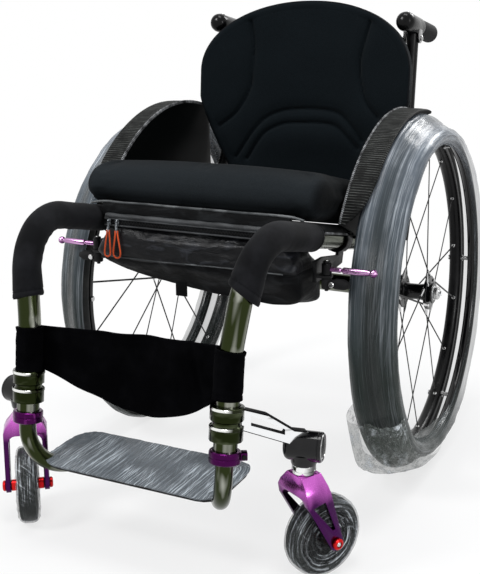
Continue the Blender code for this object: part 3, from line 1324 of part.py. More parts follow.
# Casters
def fork_shape():
    """The front view of the fork as a plate: a crown with sloping shoulders over two legs."""
    low = CASTER_R - FORK_EYE_R - 0.002
    outer = [
        (FORK_CROWN_R, FORK_TOP),
        (FORK_HALF_WIDTH - 0.004, FORK_SHOULDER + 0.006),
        (FORK_HALF_WIDTH, FORK_SHOULDER - 0.003),
        (FORK_HALF_WIDTH, low),
        (FORK_HALF_WIDTH - FORK_LEG, low),
    ]
    gap = FORK_HALF_WIDTH - FORK_LEG
    outer += arc((gap - 0.010, FORK_ARCH - 0.010), 0.010, 0, math.pi / 2, 4)
    outline = outer + [(-x, z) for x, z in reversed(outer)]
    return plate([Vector((x, -0.05, z)) for x, z in outline], Vector((0, 0.12, 0)))


def fork_side_shape():
    """The side view: broad at the crown, tapering to the axle."""
    eye = arc((TRAIL, CASTER_R), FORK_EYE_R, math.radians(20), math.radians(-155), 9)
    outline = [
        (-FORK_CROWN_R, FORK_TOP),
        (FORK_CROWN_R, FORK_TOP),
        (FORK_CROWN_R + 0.005, FORK_SHOULDER - 0.004),
        *eye,
        (-FORK_CROWN_R - 0.001, FORK_SHOULDER - 0.016),
        (-FORK_CROWN_R - 0.003, FORK_SHOULDER - 0.004),
    ]
    wide = FORK_HALF_WIDTH + 0.01
    return plate([Vector((-wide, y, z)) for y, z in outline], Vector((2 * wide, 0, 0)))


def caster_window(side):
    """The long opening in each fork leg, narrowing towards the axle."""
    window = [
        (-0.0080, FORK_SHOULDER - 0.0190),
        (0.0120, FORK_SHOULDER - 0.0150),
        (TRAIL - 0.0030, CASTER_R + 0.0230),
        (TRAIL - 0.0075, CASTER_R + 0.0220),
    ]
    inner = side * (FORK_HALF_WIDTH - FORK_LEG - 0.002)
    return plate([Vector((inner, y, z)) for y, z in window], Vector((side * (FORK_LEG + 0.006), 0, 0)))


def caster_tyre_shape():
    half = CASTER_HALF_WIDTH
    profile = [
        (CASTER_RIM_R, -half + 0.002),
        (CASTER_RIM_R + 0.006, -half),
        (CASTER_R - 0.005, -half),
        (CASTER_R, -half * 0.45),
        (CASTER_R, half * 0.45),
        (CASTER_R - 0.005, half),
        (CASTER_RIM_R + 0.006, half),
        (CASTER_RIM_R, half - 0.002),
    ]
    return along_x(turned(profile, CASTER_STEPS, closed=True))


def caster_hub_shape():
    edge, half = CASTER_RIM_R - SEAT_GAP, CASTER_HALF_WIDTH - 0.0025
    profile = [
        (0, -CASTER_HUB_HALF),
        (CASTER_HUB_R - 0.002, -CASTER_HUB_HALF),
        (CASTER_HUB_R, -half * 0.5),
        (edge - 0.008, -half * 0.4),
        (edge, -half),
        (edge, half),
        (edge - 0.008, half * 0.4),
        (CASTER_HUB_R, half * 0.5),
        (CASTER_HUB_R - 0.002, CASTER_HUB_HALF),
        (0, CASTER_HUB_HALF),
    ]
    return along_x(turned(profile, CASTER_STEPS))


def casters():
    for word, side in SIDES:
        steer = pivot(f"caster_steer_{word}", spot(side * STEER_X, STEER_AHEAD, 0), (0, 0, CASTER_TURN[word]))
        axle = pivot(f"caster_axle_centre_{word}", Vector((0, TRAIL, CASTER_R)), parent=steer)
        fork = solid(f"caster_fork_{word}", fork_shape(), "purple", steer)
        combine(fork, tool(f"caster_fork_{word}_side", fork_side_shape(), steer), "INTERSECT")
        for number, way in enumerate((-1, 1)):
            cut(fork, caster_window(way), f"window_{number}", steer)
        stem = spun([(0, -0.004), (STEM_R, -0.004), (STEM_R, STEM_LENGTH - 0.001), (STEM_R - 0.001, STEM_LENGTH),
                     (0, STEM_LENGTH)], Vector((0, 0, FORK_TOP)), (0, 0, 1), 8)
        join(fork, stem, "stem", steer)
        wide = Vector((FORK_HALF_WIDTH + 0.01, 0, 0))
        centre = Vector((0, TRAIL, CASTER_R))
        cut(fork, rod(centre - wide, centre + wide, hole_radius(CASTER_BOLT_R, 6), 6), "bolt_hole", steer)

        gap = FORK_HALF_WIDTH - FORK_LEG - SEAT_GAP
        hub_end = CASTER_HUB_HALF + SEAT_GAP
        face = FORK_HALF_WIDTH + SEAT_GAP
        profile = [(0, -face - CASTER_NUT), (CASTER_NUT_R - 0.001, -face - CASTER_NUT), (CASTER_NUT_R, -face - CASTER_NUT + 0.001)]
        profile += [(CASTER_NUT_R, -face), (CASTER_BOLT_R, -face), (CASTER_BOLT_R, -gap), (SPACER_R, -gap)]
        profile += [(SPACER_R - 0.001, -hub_end), (CASTER_BOLT_R, -hub_end)]
        profile += [(radius, -out) for radius, out in reversed(profile)]
        obj = solid(f"caster_axle_{word}", along_x(turned(profile, 6)), "red", steer)
        obj.location = centre
        solid(f"caster_tyre_{word}", caster_tyre_shape(), "grey_rubber", axle)
        hub = solid(f"caster_hub_{word}", caster_hub_shape(), "black_gloss", axle)
        cut(hub, rod(Vector((-0.03, 0, 0)), Vector((0.03, 0, 0)), hole_radius(CASTER_BOLT_R, 6), 6), "bolt_hole", axle)


def build():
    for obj in list(bpy.data.objects):
        bpy.data.objects.remove(obj)
    for name, values in FINISHES.items():
        finish(name, *values)
    side_tubes()
    axle_tube()
    axle_clamps()
    seat_cross_tube()
    backrest_brackets()
    caster_arms()
    caster_housings()
    height_collars()
    footrest()
    seat_sling()
    cushion()
    seat_bag()
    zip_pulls()
    tube_covers()
    calf_strap()
    side_guards()
    brakes()
    backrest()
    rear_wheels()
    casters()
    bpy.context.view_layer.update()


build()
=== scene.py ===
"""The looks of a rigid active wheelchair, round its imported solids. Metres, +Z up, front towards -Y."""

import json
from math import atan2, copysign, cos, exp, hypot, pi, radians, sin, sqrt, tan, tau

import bmesh
import bpy
from mathutils import Matrix, Vector, noise
from mathutils.kdtree import KDTree


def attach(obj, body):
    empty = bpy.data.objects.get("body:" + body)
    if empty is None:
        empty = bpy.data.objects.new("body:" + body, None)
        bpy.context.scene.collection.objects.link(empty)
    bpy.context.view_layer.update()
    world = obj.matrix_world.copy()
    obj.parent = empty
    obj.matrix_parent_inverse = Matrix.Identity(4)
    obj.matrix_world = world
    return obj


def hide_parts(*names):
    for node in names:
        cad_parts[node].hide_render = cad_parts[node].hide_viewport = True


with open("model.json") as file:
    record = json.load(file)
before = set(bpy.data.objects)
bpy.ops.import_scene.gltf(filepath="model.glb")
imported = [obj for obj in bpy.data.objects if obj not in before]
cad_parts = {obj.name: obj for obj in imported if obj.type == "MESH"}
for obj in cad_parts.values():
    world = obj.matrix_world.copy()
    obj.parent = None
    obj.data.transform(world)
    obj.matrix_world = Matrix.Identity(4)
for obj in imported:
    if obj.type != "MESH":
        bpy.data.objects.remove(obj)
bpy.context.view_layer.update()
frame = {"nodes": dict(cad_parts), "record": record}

SIDES = (("left", 1), ("right", -1))

# Sizes that the solids were drawn with
AXLE_Y = 0.1355
AXLE_Z = 0.2963
HUB_X = 0.2458
CAMBER = radians(2.0)
TUBE_R = 0.016
RAIL_X = 0.18
RAIL_Z = 0.379
SEAT_DUMP = radians(12.5)
KNEE = (0.1595, 0.5275, 0.335)
LEG_LEAN = radians(8.0)
LEG_LENGTH = 0.14
STEER_X = 0.236
STEER_AHEAD = 0.463
CASTER_R = 0.057
TRAIL = 0.033
CASTER_TURN = {"left": -0.52, "right": -2.5}
FOOT_BAR_Z = 0.115
FOOT_TUBE_R = 0.0122

LEG_DOWN = Vector((0, -sin(LEG_LEAN), -cos(LEG_LEAN)))
RAIL_FORWARD = Vector((0, -cos(SEAT_DUMP), sin(SEAT_DUMP)))
RAIL_UP = Vector((0, sin(SEAT_DUMP), cos(SEAT_DUMP)))

shift = Matrix.Translation
# Stands a turned profile, whose own axis is X, up along Z
STAND = Matrix.Rotation(-pi / 2, 4, "Y")


def mm(*points):
    """Points given in millimetres."""
    return [tuple(value / 1000 for value in point) for point in points]


def spot(x, ahead, z):
    """A point given by its distance ahead of the rear axle."""
    return Vector((x, AXLE_Y - ahead, z))


def rail_spot(side, ahead):
    return spot(side * RAIL_X, ahead, RAIL_Z + tan(SEAT_DUMP) * ahead)


def leg_spot(side, down):
    return spot(side * KNEE[0], KNEE[1], KNEE[2]) + LEG_DOWN * down


def seat_point(x, ahead, up):
    """A point over the seat: up is square to the rails, from their centre line."""
    return rail_spot(0, ahead) + Vector((x, 0, 0)) + RAIL_UP * up


def wheel_place(side):
    """Where a rear wheel stands: its axis is X, outwards, and its centre the hub's."""
    turn = Matrix.Rotation(0 if side > 0 else pi, 4, "Z") @ Matrix.Rotation(-CAMBER, 4, "Y")
    return shift((side * HUB_X, AXLE_Y, AXLE_Z)) @ turn


def fork_place(word, side):
    """Where a caster fork stands: its pivot is Z, from the floor, and the wheel trails towards +Y."""
    turn = Matrix.Rotation(CASTER_TURN[word], 4, "Z")
    return shift(spot(side * STEER_X, STEER_AHEAD, 0)) @ turn


# Finishes
class Value:
    """An output of a material's node, on which arithmetic adds Math nodes."""

    def __init__(self, finish, socket):
        self.finish = finish
        self.socket = socket

    def math(self, operation, first, second):
        return self.finish.node("ShaderNodeMath", {"operation": operation}, {0: first, 1: second})

    def __add__(self, other):
        return self.math("ADD", self, other)

    def __sub__(self, other):
        return self.math("SUBTRACT", self, other)

    def __rsub__(self, other):
        return self.math("SUBTRACT", other, self)

    def __mul__(self, other):
        return self.math("MULTIPLY", self, other)

    def least(self, other):
        return self.math("MAXIMUM", self, other)

    def most(self, other):
        return self.math("MINIMUM", self, other)

    def unsigned(self):
        return self.finish.node("ShaderNodeMath", {"operation": "ABSOLUTE"}, {0: self})

    __radd__ = __add__
    __rmul__ = __mul__


class Finish:
    """A material with a Principled shader, and the nodes that vary it."""

    def __init__(self, name, colour, roughness, metallic=0.0, **fixed):
        self.material = bpy.data.materials.new(name)
        self.material.use_nodes = True
        self.nodes = self.material.node_tree.nodes
        self.links = self.material.node_tree.links
        self.shader = self.nodes["Principled BSDF"]
        self.material.diffuse_color = (*colour, 1.0)
        self.paint(Base_Color=(*colour, 1.0), Roughness=roughness, Metallic=metallic, **fixed)

    def feed(self, socket, value):
        if isinstance(value, Value):
            self.links.new(value.socket, socket)
        else:
            socket.default_value = value

    def node(self, kind, settings=None, inputs=None, output=0):
        made = self.nodes.new(kind)
        for key, value in (settings or {}).items():
            setattr(made, key, value)
        for key, value in (inputs or {}).items():
            self.feed(made.inputs[key], value)
        return Value(self, made.outputs[output])

    def place(self, scale=(1, 1, 1), turn=(0, 0, 0), laid=False):
        """Object coordinates in metres, or the piece's laid-out ones, scaled and turned."""
        if laid:
            source = self.node("ShaderNodeUVMap", {"uv_map": "laid"})
        else:
            source = self.node("ShaderNodeTexCoord", output=3)
        return self.node("ShaderNodeMapping", inputs={"Vector": source, "Scale": scale, "Rotation": turn})

    def grain(self, where, scale, detail=3.0, rough=0.5, twist=0.0):
        inputs = {"Vector": where, "Scale": scale, "Detail": detail, "Roughness": rough, "Distortion": twist}
        return self.node("ShaderNodeTexNoise", inputs=inputs)

    def waves(self, where, way, scale):
        return self.node("ShaderNodeTexWave", {"bands_direction": way}, {"Vector": where, "Scale": scale})

    def axis(self, where, number):
        """One of the three coordinates of a place."""
        return self.node("ShaderNodeSeparateXYZ", inputs={0: where}, output=number)

    def span(self, value, low, high, to_low=0.0, to_high=1.0):
        """Value stretched from one range to another, and held inside it."""
        inputs = {"Value": value, "From Min": low, "From Max": high, "To Min": to_low, "To Max": to_high}
        return self.node("ShaderNodeMapRange", {"clamp": True}, inputs)

    def mixed(self, share, first, second):
        first, second = ((*colour, 1) if isinstance(colour, tuple) else colour for colour in (first, second))
        return self.node("ShaderNodeMix", {"data_type": "RGBA"}, {0: share, 6: first, 7: second}, 2)

    def tinted(self, share, dark, light):
        """Colours the surface from dark to light, by a share."""
        return self.paint(Base_Color=self.mixed(share, dark, light))

    def paint(self, **values):
        for socket, value in values.items():
            self.feed(self.shader.inputs[socket.replace("_", " ")], value)
        return self

    def relief(self, height, depth, strength=1.0):
        """Raises the surface by depth metres where height is 1."""
        inputs = {"Height": height, "Distance": depth, "Strength": strength}
        bump = self.node("ShaderNodeBump", inputs=inputs)
        return self.paint(Normal=bump)


def polished(name, dark, light, roughness, reflection_streaks=(14, 14, 14), share=(0.35, 0.65), laid=False):
    """Polished metal: painted reflections as light and dark streaks, faint rubbing marks, a fine sheen."""
    finish = Finish(name, dark, roughness, 1.0)
    cloud = finish.grain(finish.place(reflection_streaks, laid=laid), 1.0, 2.0)
    marks = finish.grain(finish.place((260, 260, 22)), 3.0, 4.0, 0.6)
    # Painted reflections: the colour runs from the dark tone to the light one along the streaks
    finish.tinted(finish.span(cloud, *share), dark, light)
    finish.paint(Roughness=finish.span(marks, 0.3, 0.75, roughness * 0.7, roughness * 1.6))
    finish.relief(marks, 0.00004, 0.25)
    return finish.material


def painted_light_anodised(name, deep, bright, low, high):
    """Anodised metal with painted light from above: lighter from one height to another, with soft streaks."""
    finish = Finish(name, deep, 0.2, 1.0)
    up = finish.axis(finish.place(), 2)
    cloud = finish.grain(finish.place((55, 55, 9)), 1.0, 2.0)
    # Painted light: the colour grows lighter with height
    finish.tinted(finish.span(up + cloud * 0.03 - 0.015, low, high), deep, bright)
    grit = finish.grain(finish.place(), 900.0, 2.0)
    finish.paint(Roughness=finish.span(grit, 0.3, 0.7, 0.16, 0.3))
    return finish.relief(grit, 0.00004, 0.2).material


def enamel(name, colour, roughness, gloss=0.2):
    """Black lacquer or moulded plastic, with a little orange peel and dulled patches."""
    finish = Finish(name, colour, roughness, 0.0, Specular_IOR_Level=gloss)
    peel = finish.grain(finish.place(), 420.0, 2.0)
    wear = finish.grain(finish.place(), 30.0, 4.0, 0.6)
    finish.paint(Roughness=finish.span(wear, 0.35, 0.7, roughness * 0.75, roughness * 1.5))
    tint = tuple(min(1.0, c * 1.8 + 0.004) for c in colour)
    finish.tinted(finish.span(wear, 0.5, 0.8), colour, tint)
    finish.relief(peel, 0.00006, 0.3)
    return finish.material


def rubber(name, colour, roughness):
    finish = Finish(name, colour, roughness, Specular_IOR_Level=0.2)
    pores = finish.grain(finish.place(), 900.0, 3.0)
    dust = finish.grain(finish.place(), 26.0, 5.0, 0.65)
    pale = tuple(c * 2.1 + 0.004 for c in colour)
    finish.tinted(finish.span(dust, 0.45, 0.85), colour, pale)
    finish.paint(Roughness=finish.span(dust, 0.3, 0.8, roughness, min(1.0, roughness + 0.15)))
    finish.relief(pores, 0.00012, 0.5)
    return finish.material


def tread_rubber():
    """Tyre rubber with a file tread over the crown."""
    finish = Finish("tyre_rubber", (0.012, 0.013, 0.013), 0.68, Specular_IOR_Level=0.2)
    laid = finish.place(laid=True)
    along, across = (finish.axis(laid, k) for k in (0, 1))
    middle = (across - 0.0325).unsigned()
    bars = finish.node("ShaderNodeMath", {"operation": "SINE"}, {0: (along + middle * 0.9) * 1500.0})
    crown = finish.span(middle, 0.0075, 0.01, 1.0, 0.0)
    dust = finish.grain(finish.place(), 30.0, 4.0, 0.6)
    finish.tinted(finish.span(dust, 0.4, 0.8), (0.012, 0.013, 0.013), (0.04, 0.04, 0.037))
    return finish.relief(finish.span(bars, -0.2, 0.2) * crown, 0.0007, 0.8).material


def knitted(name, colour, cells, depth, roughness=0.9, sheen=0.03, shade=None):
    """A spacer mesh: small rounded cells close together, a soft sheen, and painted shade if given one."""
    finish = Finish(name, colour, roughness, Sheen_Weight=sheen, Sheen_Roughness=0.45,
                    Specular_IOR_Level=0.05)
    where = finish.place()
    inputs = {"Vector": where, "Scale": cells, "Randomness": 0.9}
    dots = finish.node("ShaderNodeTexVoronoi", {"feature": "F1"}, inputs)
    fold = finish.grain(where, 9.0, 3.0)
    pale = tuple(c * 1.7 + 0.0005 for c in colour)
    deep = finish.span(dots, 0.15, 0.6)
    cloth = finish.mixed(deep * finish.span(fold, 0.2, 0.8, 0.6, 1.0), pale, colour)
    # Painted shade: the cloth darkens where the shade function gives 1
    if shade:
        cloth = finish.mixed(shade(finish), cloth, tuple(c * 0.22 for c in colour))
    finish.paint(Base_Color=cloth)
    return finish.relief(1.0 - deep, depth, 0.45).material


def painted_shade_and_end_panels(finish):
    """Painted shade on the cushion: over its darker end panels, and some low in front, behind and on top."""
    across, along, up = (finish.axis(finish.place(), k) for k in range(3))
    level = (up + along * tan(SEAT_DUMP) - (RAIL_Z + tan(SEAT_DUMP) * AXLE_Y)) * cos(SEAT_DUMP)
    ends = finish.span(across.unsigned(), 0.183, 0.1965)
    low = finish.span(level, 0.024, 0.05, 0.75, 0.0)
    back = finish.span(along, -0.175, -0.13, 0.0, 0.85)
    return ends.least(low).least(back).least(finish.span(level, 0.08, 0.095, 0.0, 0.42))


def strap_cloth():
    """A dense, dull black jersey that shows almost no light."""
    finish = Finish("strap_jersey", (0.0008, 0.0008, 0.001), 0.95, Specular_IOR_Level=0.02)
    cloud = finish.grain(finish.place(), 20.0, 4.0, 0.6)
    fuzz = finish.grain(finish.place(), 1100.0, 2.0)
    finish.tinted(finish.span(cloud, 0.4, 0.75), (0.0006, 0.0006, 0.0009), (0.0026, 0.0026, 0.0032))
    return finish.relief(fuzz * 0.3 + cloud, 0.0006, 0.4).material


def lit_ring(name, dark, light, roughness, axis, middle, clear, gone):
    """Painted highlight: a light tone where a ring faces the light, darkening away from a middle plane."""
    finish = Finish(name, dark, roughness, 1.0)
    at = finish.axis(finish.place(), axis)
    off = (at.unsigned() - middle).unsigned()
    cloud = finish.grain(finish.place((90, 90, 60)), 1.0, 2.0)
    share = finish.span(off + cloud * 0.006 - 0.003, clear, gone, 1.0, 0.0)
    finish.tinted(share, dark, light)
    return finish.material


def woven(name, colour, pale, threads, depth, roughness=0.55, wrinkles=0.0, slack=(0.5, 0.78), gloss=0.18):
    """Plain-woven nylon: threads over and under, and soft crumples with a painted sheen where it is slack."""
    finish = Finish(name, colour, roughness, Sheen_Weight=0.03 if gloss > 0.1 else 0.008,
                    Specular_IOR_Level=gloss)
    where = finish.place()
    warp = finish.waves(where, "X", threads)
    weft = finish.waves(where, "Z", threads)
    cloth = warp * weft
    crumple = finish.grain(finish.place((1, 1, 2.6), (0, 0.35, 0)), 22.0, 4.0, 0.55, 0.9)
    # Painted sheen: the crumples are coloured paler
    finish.tinted(finish.span(crumple, *slack), colour, pale)
    finish.paint(Roughness=finish.span(crumple, 0.3, 0.7, roughness + 0.12, roughness - 0.08))
    height = cloth * depth + crumple * wrinkles
    return finish.relief(height, 1.0, 0.9).material


def soft_rubber_cloth():
    """Neoprene with a brushed knit face."""
    finish = Finish("neoprene", (0.003, 0.003, 0.0036), 0.88, Sheen_Weight=0.03, Sheen_Roughness=0.5,
                    Specular_IOR_Level=0.06)
    fuzz = finish.grain(finish.place(), 1300.0, 2.0)
    cloud = finish.grain(finish.place(), 16.0, 4.0, 0.6)
    finish.tinted(finish.span(cloud, 0.4, 0.75), (0.0034, 0.0036, 0.0042), (0.013, 0.0134, 0.0155))
    return finish.relief(fuzz * 0.3 + cloud, 0.0006, 0.5).material


def webbing(name, colour, pale, ribs=95.0, edge=(0.3, 0.8)):
    """Edge tape or moulded trim with ribs across it, and a painted highlight in patches on their backs."""
    finish = Finish(name, colour, 0.62, Specular_IOR_Level=0.08)
    laid = finish.place(laid=True)
    wave = finish.waves(laid, "X", ribs)
    highlight_patches = finish.grain(finish.place(), 60.0, 4.0, 0.6)
    # Painted highlight: paler on the ribs' backs, in patches
    finish.tinted(finish.span(wave, *edge) * finish.span(highlight_patches, 0.35, 0.62), colour, pale)
    return finish.relief(wave, 0.0005, 0.9).material


def carbon_weave():
    """Twill of dark fibre under a matt lacquer."""
    finish = Finish("carbon_weave", (0.0008, 0.0012, 0.0012), 0.5, Specular_IOR_Level=0.03)
    turned_cloth = finish.place((1, 1, 1), (radians(45), 0, 0))
    one = finish.waves(turned_cloth, "Y", 110.0)
    two = finish.waves(turned_cloth, "Z", 110.0)
    twill = one * two
    finish.tinted(finish.span(twill, 0.1, 0.7), (0.0003, 0.0006, 0.0007), (0.002, 0.0026, 0.0024))
    finish.paint(Roughness=finish.span(twill, 0.1, 0.8, 0.46, 0.34))
    return finish.relief(twill, 0.0002, 0.4).material


def braided_cord():
    finish = Finish("braided_cord", (0.8, 0.1, 0.02), 0.6, Sheen_Weight=0.1, Specular_IOR_Level=0.2)
    where = finish.place((1, 1, 1), (0, radians(35), 0))
    braid = finish.waves(where, "Z", 260.0)
    finish.tinted(finish.span(braid, 0.2, 0.8), (0.55, 0.05, 0.008), (0.92, 0.15, 0.035))
    return finish.relief(braid, 0.0003, 0.8).material


def stretch_film(name, long, fine, clear, veiled, tint, pale=(0.8, 0.85, 0.9), slant=0.12,
                 patchy=(0.34, 0.62, 0.25)):
    """Thin packing film: pale creases run the way it was pulled, and it is nearly clear between them."""
    finish = Finish(name, tint, 0.16, IOR=1.45, Specular_IOR_Level=0.25)
    bright, relief, hairs = film_creases(finish, long, fine, slant)
    patches = finish.grain(finish.place(), 12.0, 3.0, 0.5)
    veil = (bright * finish.span(patches, *patchy, 1.0)).most(1.0)
    finish.paint(Alpha=finish.span(veil, 0.0, 0.8, clear, veiled))
    finish.tinted(veil, tint, pale)
    finish.paint(Roughness=finish.span(hairs, 0.3, 0.7, 0.12, 0.3))
    return finish.relief(relief, 0.001, 0.8).material


def film_creases(finish, long, fine, slant):
    """Creases along the pull, hairs and some that cross: how bright, how high, and the hairs alone."""
    flat = finish.place(laid=True)
    turned_flat = finish.place((1, 1, 1), (0, 0, slant), laid=True)

    def creases(source, along, across, detail, twist):
        where = finish.node("ShaderNodeMapping", inputs={"Vector": source, "Scale": (along, across, 1)})
        return finish.grain(where, 1.0, detail, 0.6, twist)

    pulled = creases(flat, long, fine, 5.0, 0.3)
    hairs = creases(flat, long * 4.0, fine * 3.6, 3.0, 0.2)
    crossing = creases(turned_flat, long * 2.2, fine * 1.5, 4.0, 0.5)
    bright = finish.span(pulled, 0.5, 0.66) * 0.85 + finish.span(hairs, 0.54, 0.7) * 0.4
    bright = bright + finish.span(crossing, 0.56, 0.68) * 0.45
    return bright, pulled + hairs * 0.4 + crossing * 0.3, hairs


def wheel_wrap():
    """Rear wheel film: painted light makes it milky high up, smooth and dark below; clear behind the axle."""
    tint, pale = (0.019, 0.027, 0.024), (0.74, 0.79, 0.85)
    finish = Finish("wheel_film", tint, 0.18, IOR=1.45, Specular_IOR_Level=0.22)
    bright, relief, hairs = film_creases(finish, 2.6, 190.0, 0.12)
    patches = finish.grain(finish.place(), 12.0, 3.0, 0.5)
    ahead, up = (finish.axis(finish.place(), k) for k in (1, 2))
    # Painted light from above: paler, more creased film higher up
    high = finish.span(up, 0.24, 0.56)
    rear = finish.span(ahead, AXLE_Y - 0.02, AXLE_Y + 0.16)
    across = finish.axis(finish.place(laid=True), 1)
    off = (across - 0.098).unsigned()
    # Painted shade in the gap between tyre and handrim, less of it high up
    painted_valley_shade = finish.span(off, 0.004, 0.022, 1.0, 0.0) * (1.0 - high * 0.55)
    veil = (bright * finish.span(patches, 0.38, 0.6, 0.12, 1.0) * (high * 0.48 + 0.17)
            * (1.0 - painted_valley_shade * 0.7)).most(1.0)
    smooth = finish.mixed(high, tint, (0.088, 0.106, 0.128))
    smooth = finish.mixed(painted_valley_shade, smooth, (0.01, 0.014, 0.013))
    finish.paint(Alpha=finish.span(veil, 0.0, 0.8, 0.92 - rear * 0.68, 0.97))
    finish.tinted(veil, smooth, pale)
    finish.paint(Roughness=finish.span(hairs, 0.3, 0.7, 0.14, 0.32))
    return finish.relief(relief, 0.001, 0.7).material


# Painted reflections: each polished finish below streaks its colour between a dark and a light tone
DARK_METAL = polished("dark_metal", (0.026, 0.034, 0.012), (0.56, 0.57, 0.51), 0.16, (7, 46, 1), (0.51, 0.76),
                      laid=True)
CLAMP_METAL = polished("clamp_metal", (0.014, 0.019, 0.006), (0.068, 0.08, 0.045), 0.14, (30, 30, 90),
                       (0.48, 0.74))
ZINC = polished("zinc", (0.05, 0.055, 0.062), (0.3, 0.32, 0.34), 0.3, (300, 300, 300))
# Painted highlights on the leg clamps' bands and the caster bearings
CLAMP_RING = lit_ring("clamp_ring", (0.02, 0.024, 0.012), (0.86, 0.87, 0.84), 0.14, 0, KNEE[0], 0.009, 0.017)
BEARING_RING = lit_ring("bearing_ring", (0.1, 0.1, 0.1), (0.88, 0.89, 0.88), 0.12, 0, STEER_X, 0.006, 0.015)
CHROME = polished("bright_metal", (0.035, 0.037, 0.036), (0.88, 0.89, 0.9), 0.12, (11, 11, 75), (0.29, 0.37))
# Near-black for the caster arms' edges, tops and undersides: a painted dark reflection on bright metal
ARM_DARK_REFLECTION = enamel("arm_painted_dark_reflection", (0.0016, 0.0016, 0.0018), 0.55, 0.04)
STEEL = polished("screw_steel", (0.3, 0.3, 0.3), (0.66, 0.66, 0.66), 0.24)
# Painted highlights: the light tones on the purple collars and along the brake rods
PURPLE = polished("purple_anodised", (0.052, 0.005, 0.054), (0.36, 0.055, 0.35), 0.2, (70, 70, 9),
                  (0.54, 0.76))
ROD_PURPLE = polished("rod_anodised", (0.115, 0.02, 0.12), (0.72, 0.42, 0.7), 0.2, (190, 9, 1), (0.46, 0.66),
                      laid=True)
# Painted light from above on the forks: lighter towards their crowns
FORK_PURPLE = painted_light_anodised("fork_anodised", (0.05, 0.008, 0.064), (0.6, 0.14, 0.58), 0.122, 0.158)
RED = polished("red_anodised", (0.3, 0.003, 0.006), (0.66, 0.02, 0.02), 0.24)
BLACK_METAL = enamel("black_lacquer", (0.003, 0.003, 0.0034), 0.3, 0.14)
GLOSS = enamel("gloss_black", (0.0025, 0.0025, 0.003), 0.12, 0.3)
HANDLE_BLACK = enamel("handle_black", (0.0022, 0.0022, 0.0024), 0.22, 0.12)
MOULDED = enamel("moulded_black", (0.006, 0.006, 0.0065), 0.5, 0.12)
GRIP_RUBBER = rubber("grip_rubber", (0.006, 0.006, 0.0065), 0.72)
CASTER_RUBBER = rubber("caster_rubber", (0.02, 0.022, 0.021), 0.5)
TYRE_RUBBER = tread_rubber()
SPACER_MESH = knitted("spacer_mesh", (0.0026, 0.0042, 0.0054), 760.0, 0.0004)
# The cushion's cover carries painted shade and its darker end panels
CUSHION_MESH = knitted("cushion_mesh", (0.0086, 0.0106, 0.0122), 760.0, 0.0004, 0.9, 0.008, painted_shade_and_end_panels)
PLAIN_KNIT = knitted("plain_knit", (0.0045, 0.005, 0.006), 900.0, 0.0003, 0.92)
# The woven finishes below carry a painted sheen on their crumples
NYLON = woven("bag_nylon", (0.0022, 0.0025, 0.0034), (0.05, 0.054, 0.065), 330.0, 0.00008, 0.34, 0.0034,
              (0.54, 0.8))
STRAP_NYLON = woven("sling_nylon", (0.002, 0.0022, 0.0026), (0.014, 0.0155, 0.017), 260.0, 0.00012, 0.55,
                    0.0014, gloss=0.06)
HEM_NYLON = woven("hem_nylon", (0.01, 0.011, 0.012), (0.05, 0.053, 0.056), 260.0, 0.00012, 0.5, 0.001,
                  (0.35, 0.7))
# A paler hem cloth: a painted highlight along the sling's front roll and the bag's pocket piping
HIGHLIGHT_HEM = woven("rolled_hem_painted_highlight", (0.03, 0.033, 0.035), (0.15, 0.158, 0.162), 260.0, 0.00012, 0.5, 0.0008,
                   (0.4, 0.72))
NEOPRENE = soft_rubber_cloth()
STRAP_CLOTH = strap_cloth()
# Painted highlights: the edge tape's pale line and the pale lines across the guard's lip
BINDING_HIGHLIGHT = webbing("edge_binding_painted_highlight", (0.012, 0.012, 0.013), (0.42, 0.43, 0.44))
GUARD_TRIM = webbing("guard_trim", (0.0026, 0.003, 0.0028), (0.105, 0.11, 0.105), 64.0, (0.9, 0.985))
CARBON = carbon_weave()
CORD = braided_cord()
WHEEL_FILM = wheel_wrap()
CASTER_FILM = stretch_film("caster_film", 14.0, 300.0, 0.22, 0.92, (0.02, 0.024, 0.023), slant=0.9)
TAIL_FILM = stretch_film("tail_film", 26.0, 70.0, 0.3, 0.88, (0.12, 0.14, 0.12), slant=0.6)
PLATE_FILM = stretch_film("plate_film", 7.0, 420.0, 0.9, 0.98, (0.082, 0.096, 0.11), (0.58, 0.64, 0.69), 0.25,
                          (0.4, 0.57, 0.1))


# Shaping
def skin(rows, closed=False, capped=False):
    """Faces through rows of points, laid out in metres along the rows' order and across them."""
    shape = bmesh.new()
    laid = shape.loops.layers.uv.new("laid")
    if closed:
        rows = [[*row, row[0]] for row in rows]
    bmesh.ops.create_grid(shape, x_segments=len(rows[0]) - 1, y_segments=len(rows) - 1, size=1, calc_uvs=True)
    for vert, point in zip(shape.verts, (point for row in rows for point in row)):
        vert.co = point
    along = walked([row[len(row) // 2] for row in rows])[-1]
    across = walked(rows[len(rows) // 2])[-1]
    for face in shape.faces:
        for loop in face.loops:
            loop[laid].uv = (loop[laid].uv.y * along, loop[laid].uv.x * across)
    if closed:
        bmesh.ops.remove_doubles(shape, verts=shape.verts, dist=1e-6)
    if capped:
        bmesh.ops.holes_fill(shape, edges=[edge for edge in shape.edges if edge.is_boundary], sides=0)
    return shape


def ring_points(frame_at, radius, sides):
    return [frame_at @ Vector((x, y, 0)) for x, y in arc((0, 0), radius, 0, tau, sides)[:-1]]


def arc(centre, radius, start, end, steps):
    """Points on a circle, from one angle to another."""
    turns = [start + (end - start) * i / steps for i in range(steps + 1)]
    return [(centre[0] + radius * cos(turn), centre[1] + radius * sin(turn)) for turn in turns]


